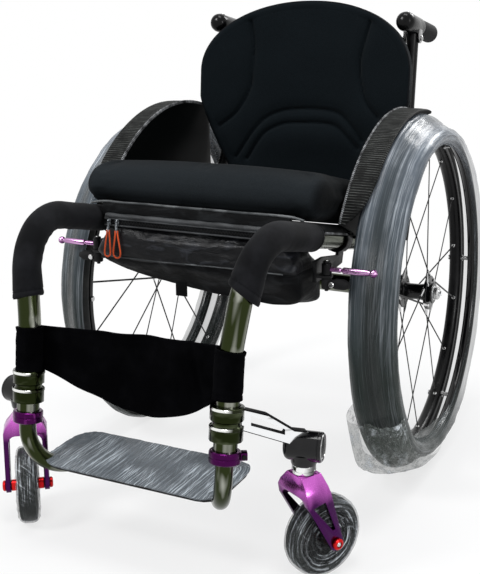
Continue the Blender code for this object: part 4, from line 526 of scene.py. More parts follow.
def rounded(corners, radii, steps):
    """A path through corners, each inner corner replaced by an arc."""
    corners = [Vector(corner) for corner in corners]
    path = [corners[0]]
    for before, corner, after, radius in zip(corners, corners[1:], corners[2:], radii):
        back = (before - corner).normalized()
        on = (after - corner).normalized()
        half = back.angle(on) / 2
        centre = corner + (back + on).normalized() * radius / sin(half)
        first = corner + back * radius / tan(half) - centre
        last = corner + on * radius / tan(half) - centre
        normal = first.cross(last).normalized()
        turn = first.angle(last)
        count = max(3, round(steps * turn / pi * 2))
        path += [centre + Matrix.Rotation(turn * i / count, 3, normal) @ first for i in range(count + 1)]
    return path + [corners[-1]]


def bell(off, width):
    """1 where off is nothing, falling away smoothly to both sides."""
    return exp(-((off / width) ** 2))


def noise_at(x, y, z):
    return noise.noise(Vector((x, y, z)))


def held(share):
    """A share kept between 0 and 1."""
    return max(0.0, min(1.0, share))


def walked(path):
    """How far along a path each point is."""
    lengths = [0.0]
    for here, there in zip(path, path[1:]):
        lengths.append(lengths[-1] + (there - here).length)
    return lengths


def stretch_of(path, start, end, step):
    """Points every step or so, from one distance along a path to another."""
    lengths = walked(path)
    count = max(2, round((end - start) / step))
    points = []
    for i in range(count + 1):
        at = start + (end - start) * i / count
        j = max(k for k in range(len(lengths) - 1) if lengths[k] <= at + 1e-9)
        share = (at - lengths[j]) / (lengths[j + 1] - lengths[j])
        points.append(path[j].lerp(path[j + 1], share))
    return points


def length_to(path, axis, value):
    """How far along a path a coordinate last passes a value."""
    found = 0.0
    for here, there, gone in zip(path, path[1:], walked(path)):
        low, high = sorted((here[axis], there[axis]))
        if low <= value < high:
            found = gone + (there - here).length * (value - here[axis]) / (there[axis] - here[axis])
    return found


def smooth_line(points, per):
    """A smooth curve through points, with per steps between each two."""
    ends = [points[0] * 2 - points[1], *points, points[-1] * 2 - points[-2]]
    line = []
    for a, b, c, d in zip(ends, ends[1:], ends[2:], ends[3:]):
        for i in range(per):
            t = i / per
            line.append(0.5 * ((2 * b) + (c - a) * t + (2 * a - 5 * b + 4 * c - d) * t**2
                               + (3 * b - a - 3 * c + d) * t**3))
    return line + [points[-1]]


def frames_along(path):
    """A matrix at each point of a path, its Z along the path, with no twist from one to the next."""
    frames = []
    across = None
    for i, point in enumerate(path):
        ways = [(path[j + 1] - path[j]).normalized() for j in (i - 1, i) if 0 <= j < len(path) - 1]
        along = sum(ways, Vector()).normalized()
        if across is None:
            across = along.orthogonal().normalized()
        across = (across - along * across.dot(along)).normalized()
        turn = Matrix((across, along.cross(across), along)).transposed().to_4x4()
        frames.append(shift(point) @ turn)
    return frames


def moved(shape, place):
    bmesh.ops.transform(shape, matrix=place, verts=shape.verts)
    return shape


def eased_edges(shape, edges, width):
    """Rounds edges off, and gives the faces that this makes."""
    return bmesh.ops.bevel(shape, geom=edges, offset=width, offset_type="OFFSET", segments=2, profile=0.5,
                           affect="EDGES", material=-1, clamp_overlap=True)["faces"]


def verts_of(made):
    return [item for item in made["geom"] if isinstance(item, bmesh.types.BMVert)]


def edges_of(made):
    return [item for item in made["geom"] if isinstance(item, bmesh.types.BMEdge)]


def swept(path, radius, sides=28, wall=0.0):
    """A round bar along a path. With a wall it is a tube, whose ends turn in to its bore."""
    frames = frames_along(path)
    rings = [(frame_at, radius) for frame_at in frames]
    if wall:
        starts, ends = [(at @ shift((0, 0, deep)), radius - wall) for at, deep in
                        ((frames[0], 0.012), (frames[-1], -0.012))]
        rings = [starts, (frames[0], radius - wall), *rings, (frames[-1], radius - wall), ends]
    return skin([ring_points(frame_at, size, sides) for frame_at, size in rings], closed=True, capped=True)


def turned(profile, steps, place=Matrix(), closed=False):
    """A profile of (out, radius) points spun round the X axis, with its laid-out coordinates in metres."""
    spun = bmesh.new()
    across = spun.verts.layers.float.new("across")
    verts = [spun.verts.new((out, 0, radius)) for out, radius in profile]
    gone = 0.0
    for before, vert in zip([None, *verts], verts):
        gone += (vert.co - before.co).length if before else 0.0
        vert[across] = gone
    edges = [spun.edges.new(pair) for pair in zip(verts, verts[1:])]
    if closed:
        edges.append(spun.edges.new((verts[-1], verts[0])))
    bmesh.ops.spin(spun, geom=verts + edges, cent=(0, 0, 0), axis=(1, 0, 0), angle=tau, steps=steps,
                   use_merge=True)
    bmesh.ops.remove_doubles(spun, verts=spun.verts, dist=1e-6)
    lay_out(spun, across, max(radius for _, radius in profile))
    return moved(spun, place)


def hoop(profile, steps, place):
    """A closed profile spun into a ring."""
    return turned(profile, steps, place, closed=True)


def mirrored(half, *middle):
    """One half of a profile, its middle and the other half."""
    return [*half, *middle, *((-out, radius) for out, radius in reversed(half))]


def lay_out(shape, across, radius):
    laid = shape.loops.layers.uv.new("laid")
    for face in shape.faces:
        middle = face.calc_center_median()
        base = atan2(middle.y, middle.z)
        for loop in face.loops:
            turn = atan2(loop.vert.co.y, loop.vert.co.z) - base
            turn = (turn + pi) % tau - pi
            loop[laid].uv = ((base + turn) * radius, loop.vert[across])


def added(shape, more):
    """Puts the second shape into the first one."""
    if shape is None:
        return more
    mesh = bpy.data.meshes.new("joining")
    more.to_mesh(mesh)
    more.free()
    shape.from_mesh(mesh)
    bpy.data.meshes.remove(mesh)
    return shape


def block(size, place, ease=0.0):
    """A box of a size, centred on a place, its edges rounded."""
    shape = bmesh.new()
    bmesh.ops.create_cube(shape, size=1.0)
    bmesh.ops.scale(shape, vec=size, verts=shape.verts)
    if ease:
        eased_edges(shape, shape.edges[:], ease)
    return moved(shape, place)


def button(radius, height, place, sides=20, ease=0.0008):
    """A short round head that stands along Z of its place."""
    profile = [(0, radius - ease), (height - ease, radius), (height, radius - ease), (height, 0)]
    return turned([(0, 0), *profile], sides, place @ STAND)


def facing(point, way):
    """A place at a point whose Z looks along a way."""
    return shift(point) @ Vector(way).to_track_quat("Z", "Y").to_matrix().to_4x4()


def piece(name, shape, material, body, stands_for=(), crease=32):
    bmesh.ops.remove_doubles(shape, verts=shape.verts, dist=1e-6)
    bmesh.ops.recalc_face_normals(shape, faces=shape.faces)
    mesh = bpy.data.meshes.new(name)
    shape.to_mesh(mesh)
    shape.free()
    mesh.shade_smooth()
    mesh.set_sharp_from_angle(angle=radians(crease))
    mesh.materials.append(material)
    obj = shown(bpy.data.objects.new(name, mesh))
    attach(obj, body)
    if stands_for:
        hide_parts(*stands_for)
    return obj


def shown(obj):
    bpy.context.scene.collection.objects.link(obj)
    return obj


def thicken(obj, thickness, offset=0):
    thick = obj.modifiers.new("thick", "SOLIDIFY")
    thick.thickness = thickness
    thick.offset = offset


def refine(obj):
    finer = obj.modifiers.new("finer", "SUBSURF")
    finer.levels = finer.render_levels = 1


def eased(node, material, width=0.0006, other=None, where=None, dark_reflection=None):
    """A finer copy of a CAD piece, rounded off. Its edges, top and underside take a painted dark reflection.
    """
    shape = bmesh.new()
    shape.from_mesh(frame["nodes"][node].data)
    bmesh.ops.remove_doubles(shape, verts=shape.verts, dist=2e-5)
    bmesh.ops.dissolve_limit(shape, angle_limit=radians(0.6), verts=shape.verts, edges=shape.edges)
    sharp = [edge for edge in shape.edges if edge.is_manifold and edge.calc_face_angle(0.0) > radians(33)]
    rounded_off = eased_edges(shape, sharp, width)
    body = next(name for name, nodes in frame["record"]["behaviour"]["bodies"].items() if node in nodes)
    finishes = [material] + [more for more in (other, dark_reflection) if more]
    shape.normal_update()
    edges = set(rounded_off)
    for face in shape.faces:
        # Painted dark reflection: rounded edges and faces that look up or down take the near-black finish
        if dark_reflection and (face in edges or abs(face.normal.z) > 0.55):
            face.material_index = len(finishes) - 1
        if where and where(face.calc_center_median()):
            face.material_index = 1
    made = piece(f"{node}_finished", shape, material, body, [node], crease=34)
    for more in finishes[1:]:
        made.data.materials.append(more)
    return made


def side_path(side):
    """The centre line of a side tube: seat rail, bend and front leg."""
    corners = (rail_spot(side, -0.08), rail_spot(side, 0.499), leg_spot(side, 0), leg_spot(side, LEG_LENGTH))
    return rounded(corners, (0.084, 0.25), 26)


# Rear wheels
TYRE_R = 0.2965
TYRE_SECTION_R = 0.0125
RIM_R = 0.26
HANDRIM_R = 0.2644
HANDRIM_OUT = 0.0345
HANDRIM_SECTION_R = 0.01
TAB_R = 0.2685
SPOKES = 16
SPOKE_LEAD = radians(62.0)
FLANGES = (-0.021, 0.024)


def on_wheel(out, radius, angle):
    """A point of a wheel, its angle counted from the top towards the front."""
    return Vector((out, -radius * sin(angle), radius * cos(angle)))


def tyre(word, body, place):
    ring = TYRE_R - TYRE_SECTION_R
    profile = arc((0, ring), TYRE_SECTION_R, radians(-60), radians(240), 22)
    piece(f"tyre_{word}_rubber", hoop(profile, 120, place), TYRE_RUBBER, body,
          [f"tyre_{word}"])


def rim(word, body, place):
    half = [(0.0034, RIM_R), (0.0066, RIM_R + 0.0012), (0.0092, RIM_R + 0.004), (0.011, RIM_R + 0.006)]
    half += [(0.0115, RIM_R + 0.008), (0.0115, RIM_R + 0.0142), (0.011, RIM_R + 0.015),
             (0.0092, RIM_R + 0.0146)]
    half += [(0.0086, RIM_R + 0.0118), (0.007, RIM_R + 0.0114)]
    shape = hoop(mirrored(half), 120, place)
    piece(f"rim_{word}_hoop", shape, BLACK_METAL, body, [f"rim_{word}"])
    seats = None
    for i in range(SPOKES):
        angle = tau * (i + 0.25) / SPOKES
        seat = place @ facing(on_wheel(0.0022 if i % 2 else -0.0022, RIM_R + 0.0004, angle),
                              on_wheel(0, -1, angle))
        seats = added(seats, button(0.0034, 0.0016, seat, 12, 0.0005))
    piece(f"rim_{word}_eyelets", seats, STEEL, body)


def handrim(word, body, place):
    profile = arc((HANDRIM_OUT, HANDRIM_R), HANDRIM_SECTION_R, 0, tau, 20)[:-1]
    piece(f"handrim_{word}_tube", hoop(profile, 120, place), GLOSS, body, [f"handrim_{word}"])
    tabs, bolts = None, None
    for i in range(6):
        angle = tau * (i + 0.5) / 6
        start = place @ facing(on_wheel(0.0112, TAB_R, angle), (1, 0, 0))
        tabs = added(tabs, button(0.006, 0.003, start, 20, 0.0008))
        tabs = added(tabs, button(0.0042, 0.02, start, 16, 0.0005))
        head = place @ facing(on_wheel(-0.0112, TAB_R, angle), (-1, 0, 0))
        bolts = added(bolts, button(0.0048, 0.0026, head, 16, 0.0009))
    piece(f"handrim_{word}_posts", tabs, STEEL, body)
    piece(f"handrim_{word}_screws", bolts, STEEL, body)


def spoke_run(i):
    """Where spoke i leaves its flange and where it reaches the rim."""
    angle = tau * (i + 0.25) / SPOKES
    crossing = (i // 2) % 2
    flange = FLANGES[i % 2]
    start = on_wheel(flange + (0.0014 if crossing else -0.0014), 0.025,
                     angle + (SPOKE_LEAD if crossing else -SPOKE_LEAD))
    return start, on_wheel(0.0022 if i % 2 else -0.0022, RIM_R - 0.0002, angle)


def flat_bar(shape, start, end, sizes):
    """A bar from start to end, its (share, width, thickness) rings square and slightly rounded."""
    way = (end - start).normalized()
    flat = way.cross(Vector((1, 0, 0))).normalized()
    turn = Matrix((flat, way.cross(flat), way)).transposed().to_4x4()
    ring = bmesh.ops.create_circle(shape, segments=8, radius=1.0)["verts"]
    bmesh.ops.rotate(shape, verts=ring, cent=(0, 0, 0), matrix=Matrix.Rotation(pi / 8, 3, "Z"))
    edges = list({edge for vert in ring for edge in vert.link_edges})
    places = [shift(start.lerp(end, share)) @ turn @ Matrix.Diagonal((wide / 2, thick / 2, 1, 1))
              for share, wide, thick in sizes]
    bmesh.ops.transform(shape, matrix=places[0], verts=ring)
    bmesh.ops.contextual_create(shape, geom=edges)
    for before, after in zip(places, places[1:]):
        made = bmesh.ops.extrude_edge_only(shape, edges=edges)
        edges = edges_of(made)
        bmesh.ops.transform(shape, matrix=after @ before.inverted(), verts=verts_of(made))
    bmesh.ops.contextual_create(shape, geom=edges)


def hub(word, body, place):
    profile = mm((-30, 7), (-30, 16.5), (-29, 18.2), (-26.2, 18.2), (-25.8, 15))
    for at in FLANGES:
        profile += [(at - 0.004, 0.0158), (at - 0.0028, 0.0182), (at - 0.0028, 0.028), (at - 0.002, 0.029)]
        profile += [(at + 0.002, 0.029), (at + 0.0028, 0.028), (at + 0.0028, 0.0182), (at + 0.004, 0.0158)]
        if at < 0:
            profile += [(-0.01, 0.0135), (0.01, 0.0135)]
    profile += mm((29, 16.5), (31, 18.2), (32.2, 18.2), (33, 17), (33, 7))
    piece(f"hub_{word}_body", hoop(profile, 48, place), GLOSS, body, [f"hub_{word}"])
    spokes, nipples, heads = bmesh.new(), bmesh.new(), None
    for i in range(SPOKES):
        start, end = spoke_run(i)
        length = (end - start).length
        flat_bar(spokes, start, end, ((0, 0.003, 0.0026), (0.1, 0.0034, 0.0018), (0.96, 0.0034, 0.0016),
                                      (1, 0.003, 0.0022)))
        flat_bar(nipples, start, end, ((0, 0.0052, 0.005), (0.012 / length, 0.005, 0.0048),
                                       (0.02 / length, 0.004, 0.003)))
        side_way = 1 if FLANGES[i % 2] > 0 else -1
        seat = place @ facing(start + Vector((0.001 * side_way, 0, 0)), (side_way, 0, 0))
        heads = added(heads, button(0.003, 0.0026, seat, 12, 0.0008))
    for shape in (spokes, nipples):
        moved(shape, place)
    piece(f"hub_{word}_spokes", spokes, BLACK_METAL, body)
    piece(f"hub_{word}_nipples", nipples, STEEL, body)
    piece(f"hub_{word}_spoke_heads", heads, STEEL, body)
    rings = hoop(mm((-30.3, 7.2), (-30.3, 12), (-29, 12.4), (-29, 7.2)), 32, place)
    rings = added(rings, hoop(mm((30.3, 7.2), (33.3, 7.2), (33.3, 12), (32, 12.4)), 32, place))
    piece(f"hub_{word}_bearings", rings, CHROME, body)


def axle_pin(word, place):
    face = 0.0418
    profile = mm((-86, 0), (-86, 5), (-84.5, 6.35), (33.3, 6.35), (33.3, 10), (34.3, 11))
    profile += [(0.04, 0.011), (face, 0.0092), (face, 0.0052), (face - 0.0018, 0.0048), (face - 0.0018, 0)]
    piece(f"axle_pin_{word}_body", turned(profile, 40, place), STEEL, "frame", [f"axle_pin_{word}"])
    cap = [(face - 0.0035, 0), (face - 0.0035, 0.0044), (face + 0.004, 0.0044), (face + 0.005, 0.0034),
           (face + 0.005, 0)]
    piece(f"axle_button_{word}_cap", turned(cap, 28, place), CHROME, f"button_{word}",
          [f"axle_button_{word}"])


# The cross-section of a wheel's film, as (out, radius), with the steps between its points and round the wheel
WRAP = mm((8, 256), (-10, 257.2), (-14.2, 268), (-15, 284), (-10.5, 295.5), (0, 299.6), (10.5, 296.2),
          (20, 288.5), (33, 279.5), (46, 274.5), (52, 264), (46, 252), (34.5, 247), (20, 251.5), (8, 256))
WRAP_STEPS = 4
WRAP_TURNS = 220


def wheel_film(word, body, place):
    """Film wound round the wheel: over rim, tyre and handrim in front, and over tyre and handrim behind."""
    loop = smooth_line([Vector((out, radius, 0)) for out, radius in WRAP], WRAP_STEPS)
    seed = 3.0 if word == "left" else 11.0
    middle = Vector((0.012, 0.272))
    rows = []
    for i in range(WRAP_TURNS + 1):
        angle = tau * (i % WRAP_TURNS) / WRAP_TURNS
        loose = 0.35 + 0.65 * cos(angle) ** 2
        row = []
        for j, (out, radius, _) in enumerate(loop):
            pull = noise.fractal(Vector((sin(angle) * 1.6, cos(angle) * 1.6, j * 0.62 + seed)), 0.7, 2.1, 4)
            crush = noise.fractal(on_wheel(out, radius, angle) * 30 + Vector((seed, 0, 0)), 0.8, 2.2, 3)
            lift = 0.0014 * pull + 0.0013 * crush * loose + 0.0008
            away = (Vector((out, radius)) - middle).normalized() * lift
            row.append(place @ on_wheel(out + away.x, radius + away.y, angle))
        rows.append(row)
    shape = skin(rows)
    bmesh.ops.remove_doubles(shape, verts=shape.verts, dist=1e-6)
    count = len(loop) - 1
    bare = []
    for index, face in enumerate(shape.faces):
        i, j = divmod(index, count)
        angle = tau * (i + 0.5) / WRAP_TURNS
        ahead = sin(angle - 0.1) + 0.1 * noise_at(sin(angle) * 6, cos(angle) * 6, seed)
        # The cover's edges swing from the rim in front to the tyre's crown and the handrim behind
        open_share = held(0.5 - ahead * 1.9)
        if not 1.0 + open_share * 4.0 * WRAP_STEPS <= j + 1 or j >= count - open_share * 2.6 * WRAP_STEPS:
            bare.append(face)
    bmesh.ops.delete(shape, geom=bare, context="FACES")
    keep_over(shape, 0.0004)
    piece(f"wheel_film_{word}", shape, WHEEL_FILM, body, crease=60)


TAIL = mm((-20, 270), (-27, 290), (-25, 301), (-6, 303), (20, 299), (44, 287), (53, 268))
TAIL_SWELL = ((113, 0.0), (120, 0.004), (129, 0.013), (138, 0.022), (147, 0.018), (156, 0.009), (166, 0.005),
              (178, 0.0))


def film_tail(word, body, place):
    """The film's loose end: a slack bag on the floor at the wheel's foot, in which the wheel turns."""
    section = smooth_line([Vector((out, radius, 0)) for out, radius in TAIL], 5)
    swells = smooth_line([Vector((radians(angle), swell, 0)) for angle, swell in TAIL_SWELL], 9)
    rows = []
    for k, (middle, swell, _) in enumerate(swells):
        row = []
        upper = 1 - k / (len(swells) - 1)
        for j, (out, radius, _) in enumerate(section):
            front = 1 - j / (len(section) - 1)
            slack = swell / 0.022
            angle = middle + upper**3 * (0.15 * (1 - front) + 0.05 * noise_at(out * 60, 0.5, 7.0))
            crush = noise.fractal(Vector((angle * 11, out * 70, radius * 60)), 0.9, 2.2, 4)
            grow = swell * (0.35 + 0.65 * front) + 0.0038 * crush * slack
            point = on_wheel(out - 0.006 * slack * front + 0.003 * crush * slack, radius + grow, angle)
            row.append(place @ point)
        rows.append(row)
    shape = skin(rows)
    keep_over(shape, 0.001)
    piece(f"wheel_film_tail_{word}", shape, TAIL_FILM, body, crease=60)


def near_leg(side):
    """A test of whether a point belongs to the clamp round a front leg."""
    top = leg_spot(side, 0)

    def inside(point):
        along = LEG_DOWN * (point - top).dot(LEG_DOWN)
        return (point - top - along).length < 0.0236
    return inside


def nearest_on(lines):
    """A function that gives the distance in front view from the nearest of some lines."""
    points = []
    for line in lines:
        for (ax, az), (bx, bz) in zip(line, line[1:]):
            count = max(1, round(hypot(bx - ax, bz - az) / 0.0006))
            points += [Vector((ax + (bx - ax) * i / count, az + (bz - az) * i / count, 0))
                       for i in range(count + 1)]
    tree = KDTree(len(points))
    for index, point in enumerate(points):
        tree.insert(point, index)
    tree.balance()
    return lambda x, z: tree.find((x, z, 0))[2]


def keep_over(shape, floor):
    for vert in shape.verts:
        vert.co.z = max(floor, vert.co.z)


def rear_wheels():
    for word, side in SIDES:
        body, place = f"wheel_{word}", wheel_place(side)
        tyre(word, body, place)
        rim(word, body, place)
        handrim(word, body, place)
        hub(word, body, place)
        axle_pin(word, place)
        wheel_film(word, body, place)
    film_tail("left", "frame", wheel_place(1))


# Casters
def casters():
    for word, side in SIDES:
        fork, wheel = f"caster_{word}", f"caster_wheel_{word}"
        place = fork_place(word, side) @ shift((0, TRAIL, CASTER_R))
        eased(f"caster_fork_{word}", FORK_PURPLE, 0.0012)
        half = mm((-10.8, 43.2), (-13, 47), (-13, 51.5), (-11.8, 54.5), (-8, 56.4))
        tread = hoop(mirrored(half, (0, CASTER_R)), 72, place)
        piece(f"caster_tyre_{word}_tread", tread, CASTER_RUBBER, wheel,
              [f"caster_tyre_{word}"])
        half = mm((-15, 4.5), (-15, 11), (-14, 12.2), (-10.8, 13.6), (-6.2, 15), (-4.8, 18))
        half += mm((-4.2, 33), (-5.6, 36.6), (-10, 38.4), (-10.8, 40), (-10.6, 43))
        piece(f"caster_hub_{word}_disc", hoop(mirrored(half), 72, place), MOULDED, wheel,
              [f"caster_hub_{word}"])
        rings = None
        for way in (-1, 1):
            seat = [(way * 0.0152, 0.0046), (way * 0.0152, 0.008), (way * 0.014, 0.0084),
                    (way * 0.014, 0.0046)]
            rings = added(rings, hoop(seat, 32, place))
        piece(f"caster_hub_{word}_bearings", rings, CHROME, wheel)
        bolt = turned(mm((-38.5, 0), (-38.5, 2.2), (-37, 4), (37, 4), (38.5, 2.2), (38.5, 0)), 24, place)
        spacers = None
        for way in (-1, 1):
            inner = [(way * 0.0153, 0.0042), (way * 0.0153, 0.0078), (way * 0.0168, 0.0088),
                     (way * 0.024, 0.0088), (way * 0.0252, 0.0078), (way * 0.0252, 0.0042)]
            cap = [(way * 0.0333, 0.0042), (way * 0.0333, 0.0078), (way * 0.0345, 0.0084),
                   (way * 0.037, 0.008), (way * 0.0383, 0.0062), (way * 0.0383, 0.0042)]
            for profile in (inner, cap):
                spacers = added(spacers, hoop(profile, 32, place))
        piece(f"caster_axle_{word}_spacers", spacers, RED, fork, [f"caster_axle_{word}"])
        piece(f"caster_axle_{word}_bolt", bolt, STEEL, fork)
        caster_film(word, wheel, place)


def caster_film(word, body, place):
    """Film crumpled over the caster wheel, open round its hub."""
    half = mm((-15.8, 12.5), (-15, 22), (-14.6, 34), (-15.6, 46), (-14.2, 54.5), (-8, 58.3))
    profile = [Vector((out, radius, 0)) for out, radius in mirrored(half, (0, 0.059))]
    shape = turned([(out, radius) for out, radius, _ in smooth_line(profile, 4)], 90)
    seed = 2.0 if word == "left" else 5.0
    for vert in shape.verts:
        radius = hypot(vert.co.y, vert.co.z)
        crush = noise.fractal(vert.co * 95 + Vector((seed, 0, 0)), 0.8, 2.2, 4)
        rays = noise_at(atan2(vert.co.y, vert.co.z) * 7, radius * 20, seed)
        flat = 0.0016 * (crush + rays * 0.7)
        vert.co.x += copysign(flat, vert.co.x) if radius < 0.052 else 0.0
        grow = 1 + (0.0008 + 0.0007 * crush) / radius if radius > 0.05 else 1
        vert.co.y *= grow
        vert.co.z *= grow
    moved(shape, place)
    keep_over(shape, 0.0004)
    piece(f"caster_film_{word}", shape, CASTER_FILM, body, crease=60)


def caster_mounts():
    """The drum over each fork, its bearing, and the two-bar arm that joins it to the leg."""
    turn_out = radians(10)
    for word, side in SIDES:
        eased(f"caster_arm_{word}", CHROME, 0.0016, CLAMP_METAL, near_leg(side), ARM_DARK_REFLECTION)
        centre = spot(side * STEER_X, STEER_AHEAD, 0.199)
        place = shift(centre) @ Matrix.Rotation(turn_out if side > 0 else pi - turn_out, 4, "Z")
        profile = mm((-26, 0), (-26, 15), (-24, 18.5), (-21, 20.4), (-18, 21), (20, 21))
        profile += mm((20.6, 20.4), (21.4, 20.4), (22, 21), (24.5, 20.6), (25.8, 19.4), (26.2, 17.6))
        profile += [(0.0255, 0.0168), (0.0255, 0)]
        drum = turned(profile, 56, place)
        steer = spot(side * STEER_X, STEER_AHEAD, 0)
        upright = shift(steer) @ STAND
        neck = turned(mm((174.2, 0), (174.2, 17.2), (175.5, 17.8), (180, 18.2), (190, 20.4), (195, 0)), 48,
                      upright)
        piece(f"caster_housing_{word}_drum", added(drum, neck), GLOSS, "frame",
              [f"caster_housing_{word}"])
        ring = mm((160.9, 6.2), (160.9, 15), (161.8, 16.2), (166, 16.5), (166.4, 15.9), (167.2, 15.9))
        ring += mm((167.6, 16.5), (172.8, 16.5), (173.9, 15.8), (173.9, 6.2))
        piece(f"caster_bearing_{word}_ring", hoop(ring, 48, upright), BEARING_RING, "frame",
              [f"caster_bearing_{word}"])
        rim_ring = mm((25.4, 17.2), (26.8, 17.4), (26.6, 18.6), (25.2, 19.2))
        piece(f"caster_housing_{word}_trim", hoop(rim_ring, 56, place), STEEL, "frame")


# Frame
def side_tubes():
    for word, side in SIDES:
        path = side_path(side)
        shape = swept(path, TUBE_R, 36, wall=0.003)
        piece(f"side_tube_{word}_polished", shape, DARK_METAL, "frame", [f"side_tube_{word}"])


def cross_tubes():
    middle = spot(0, 0, AXLE_Z)
    level = shift(middle)
    profile = mm((150.5, 0), (150.5, 13), (196, 13), (196, 18.8), (197, 19), (200.2, 19), (201, 18.2))
    profile += [(0.201, 0.008), (0.199, 0.008), (0.199, 0)]
    tube = swept([middle + Vector((side * 0.196, 0, 0)) for _, side in SIDES], 0.016, 48, wall=0.006)
    plugs, noses = None, None
    for _, side in SIDES:
        way = Matrix.Scale(side, 4, Vector((1, 0, 0)))
        plugs = added(plugs, turned(profile, 48, level @ way))
        nose = mm((-60, 6.8), (-60, 11.8), (-31.2, 12), (-30.3, 11.2), (-30.3, 6.8))
        noses = added(noses, hoop(nose, 36, wheel_place(side)))
    piece("axle_tube_polished", tube, DARK_METAL, "frame", ["axle_tube"])
    piece("axle_tube_plugs", plugs, BLACK_METAL, "frame")
    piece("axle_tube_noses", noses, STEEL, "frame")
    centre = rail_spot(0, 0.14)
    ends = [centre + Vector((side * (RAIL_X - 0.012), 0, 0)) for _, side in SIDES]
    piece("seat_cross_tube_polished", swept(ends, 0.0125, 32), DARK_METAL, "frame",
          ["seat_cross_tube"])


def clamps():
    for word, side in SIDES:
        eased(f"axle_clamp_{word}", BLACK_METAL, 0.0008)
        eased(f"backrest_bracket_{word}", BLACK_METAL, 0.0007)
        centre = leg_spot(side, 0.133)
        upright = facing(centre, LEG_DOWN) @ STAND
        band = mm((-8.5, 16.5), (-8.5, 19.8), (-7.2, 21.2), (-6, 21.5), (-1, 21.5), (-0.4, 20.9))
        band += mm((0.4, 20.9), (1, 21.5), (6, 21.5), (7.2, 21.2), (8.5, 19.8), (8.5, 16.5))
        ring = hoop(band, 56, upright)
        out = Vector((side, 0.6, 0)).normalized()
        across = out.cross(Vector((0, 0, 1)))
        turn = Matrix((out, across, Vector((0, 0, 1)))).transposed().to_4x4()
        lug = shift(centre + out * 0.024) @ turn
        ring = added(ring, block((0.011, 0.012, 0.011), lug, 0.0014))
        piece(f"height_collar_{word}_band", ring, PURPLE, "frame", [f"height_collar_{word}"])
        screw = button(0.0036, 0.003, facing(centre + out * 0.0248 + across * 0.0055, across), 20)
        piece(f"height_collar_{word}_screw", screw, BLACK_METAL, "frame")
        for top, name in ((0.065, "upper"), (0.09, "lower")):
            place = facing(leg_spot(side, top), LEG_DOWN) @ STAND
            line = hoop(mm((1, 22.2), (1.8, 23), (4.4, 23), (5.2, 22.2)), 56, place)
            piece(f"leg_clamp_{name}_band_{word}", line, CLAMP_RING, "frame")


def footrest():
    corners = []
    for side in (1, -1):
        top = leg_spot(side, 0.035)
        low = top + LEG_DOWN * ((top.z - FOOT_BAR_Z) / cos(LEG_LEAN))
        corners.append((top, low, low + Vector((-side * 0.05, 0.087, 0))))
    (left_top, left_low, left_turn), (right_top, right_low, right_turn) = corners
    path = rounded((left_top, left_low, left_turn, right_turn, right_low, right_top),
                   (0.065, 0.03, 0.03, 0.065), 20)
    piece("footrest_tube_polished", swept(path, FOOT_TUBE_R, 30), DARK_METAL, "footrest",
          ["footrest_tube"])
    eased("footplate", MOULDED, 0.001)
    plate_film()


def plate_film():
    """Film pulled tight over the footplate, and bunched a little at its ends."""
    centre = spot(0, 0.485, 0.1335)
    half_x, half_y, corner = 0.1475, 0.0645, 0.033
    rows = []
    for i in range(61):
        y = -1 + i / 30
        row = []
        for j in range(121):
            x = -1 + j / 60
            # Past the edge of the plate the sheet turns down and in under it
            reach = max(abs(x), abs(y), 1e-6)
            over = max(0.0, reach - 0.9) / 0.1
            px, py = (side / reach * min(reach, 0.9) / 0.9 for side in (x, y))
            inner = Vector((max(-half_x + corner, min(half_x - corner, px * half_x)),
                            max(-half_y + corner, min(half_y - corner, py * half_y))))
            away = Vector((px * half_x, py * half_y)) - inner
            if away.length > 1e-9:
                away *= max(abs(away.x), abs(away.y)) / away.length
            flat = inner + away
            drop = 0.0042 * sin(min(1.0, over) * pi * 0.5)
            flat -= flat / max(flat.length, 1e-6) * (0.01 * over * over)
            ridge = noise.fractal(Vector((flat.x * 12, (flat.x * 0.75 + flat.y) * 60, 2.0)), 0.8, 2.1, 4)
            crush = noise.fractal(Vector((flat.x * 55, flat.y * 55, 6.0)), 0.9, 2.2, 3)
            ends = max(0.0, abs(flat.x) / half_x - 0.78) / 0.22
            lift = 0.0007 + 0.0006 * (ridge + 0.5) + 0.0026 * ends * (crush + 0.5)
            row.append(centre + Vector((flat.x + over * crush * 0.0012, flat.y + over * crush * 0.0016,
                                        -drop + max(0.0003, lift))))
        rows.append(row)
    piece("footplate_film", skin(rows), PLATE_FILM, "footrest", crease=70)


# Guards and brakes
GUARD_X = 0.2032
GUARD_R = 0.308
GUARD_FRONT = radians(58.0)
GUARD_BACK = radians(-19.0)


def lip_line(radius, steps=48):
    """The top edge of a guard, as (ahead, height) points from front to back."""
    turns = arc((0, 0), radius, pi / 2 - GUARD_FRONT, pi / 2 - GUARD_BACK, steps)
    return [(ahead, AXLE_Z + height) for ahead, height in turns]


def slab(outline, depth, ease=0.0):
    """A flat outline of 3-D points, made thick by the vector depth."""
    shape = bmesh.new()
    face = shape.faces.new([shape.verts.new(point) for point in outline])
    made = bmesh.ops.extrude_face_region(shape, geom=[face])
    bmesh.ops.translate(shape, verts=verts_of(made), vec=depth)
    bmesh.ops.recalc_face_normals(shape, faces=shape.faces)
    if ease:
        sharp = [edge for edge in shape.edges if edge.calc_face_angle(0) > radians(40)]
        eased_edges(shape, sharp, ease)
    return shape


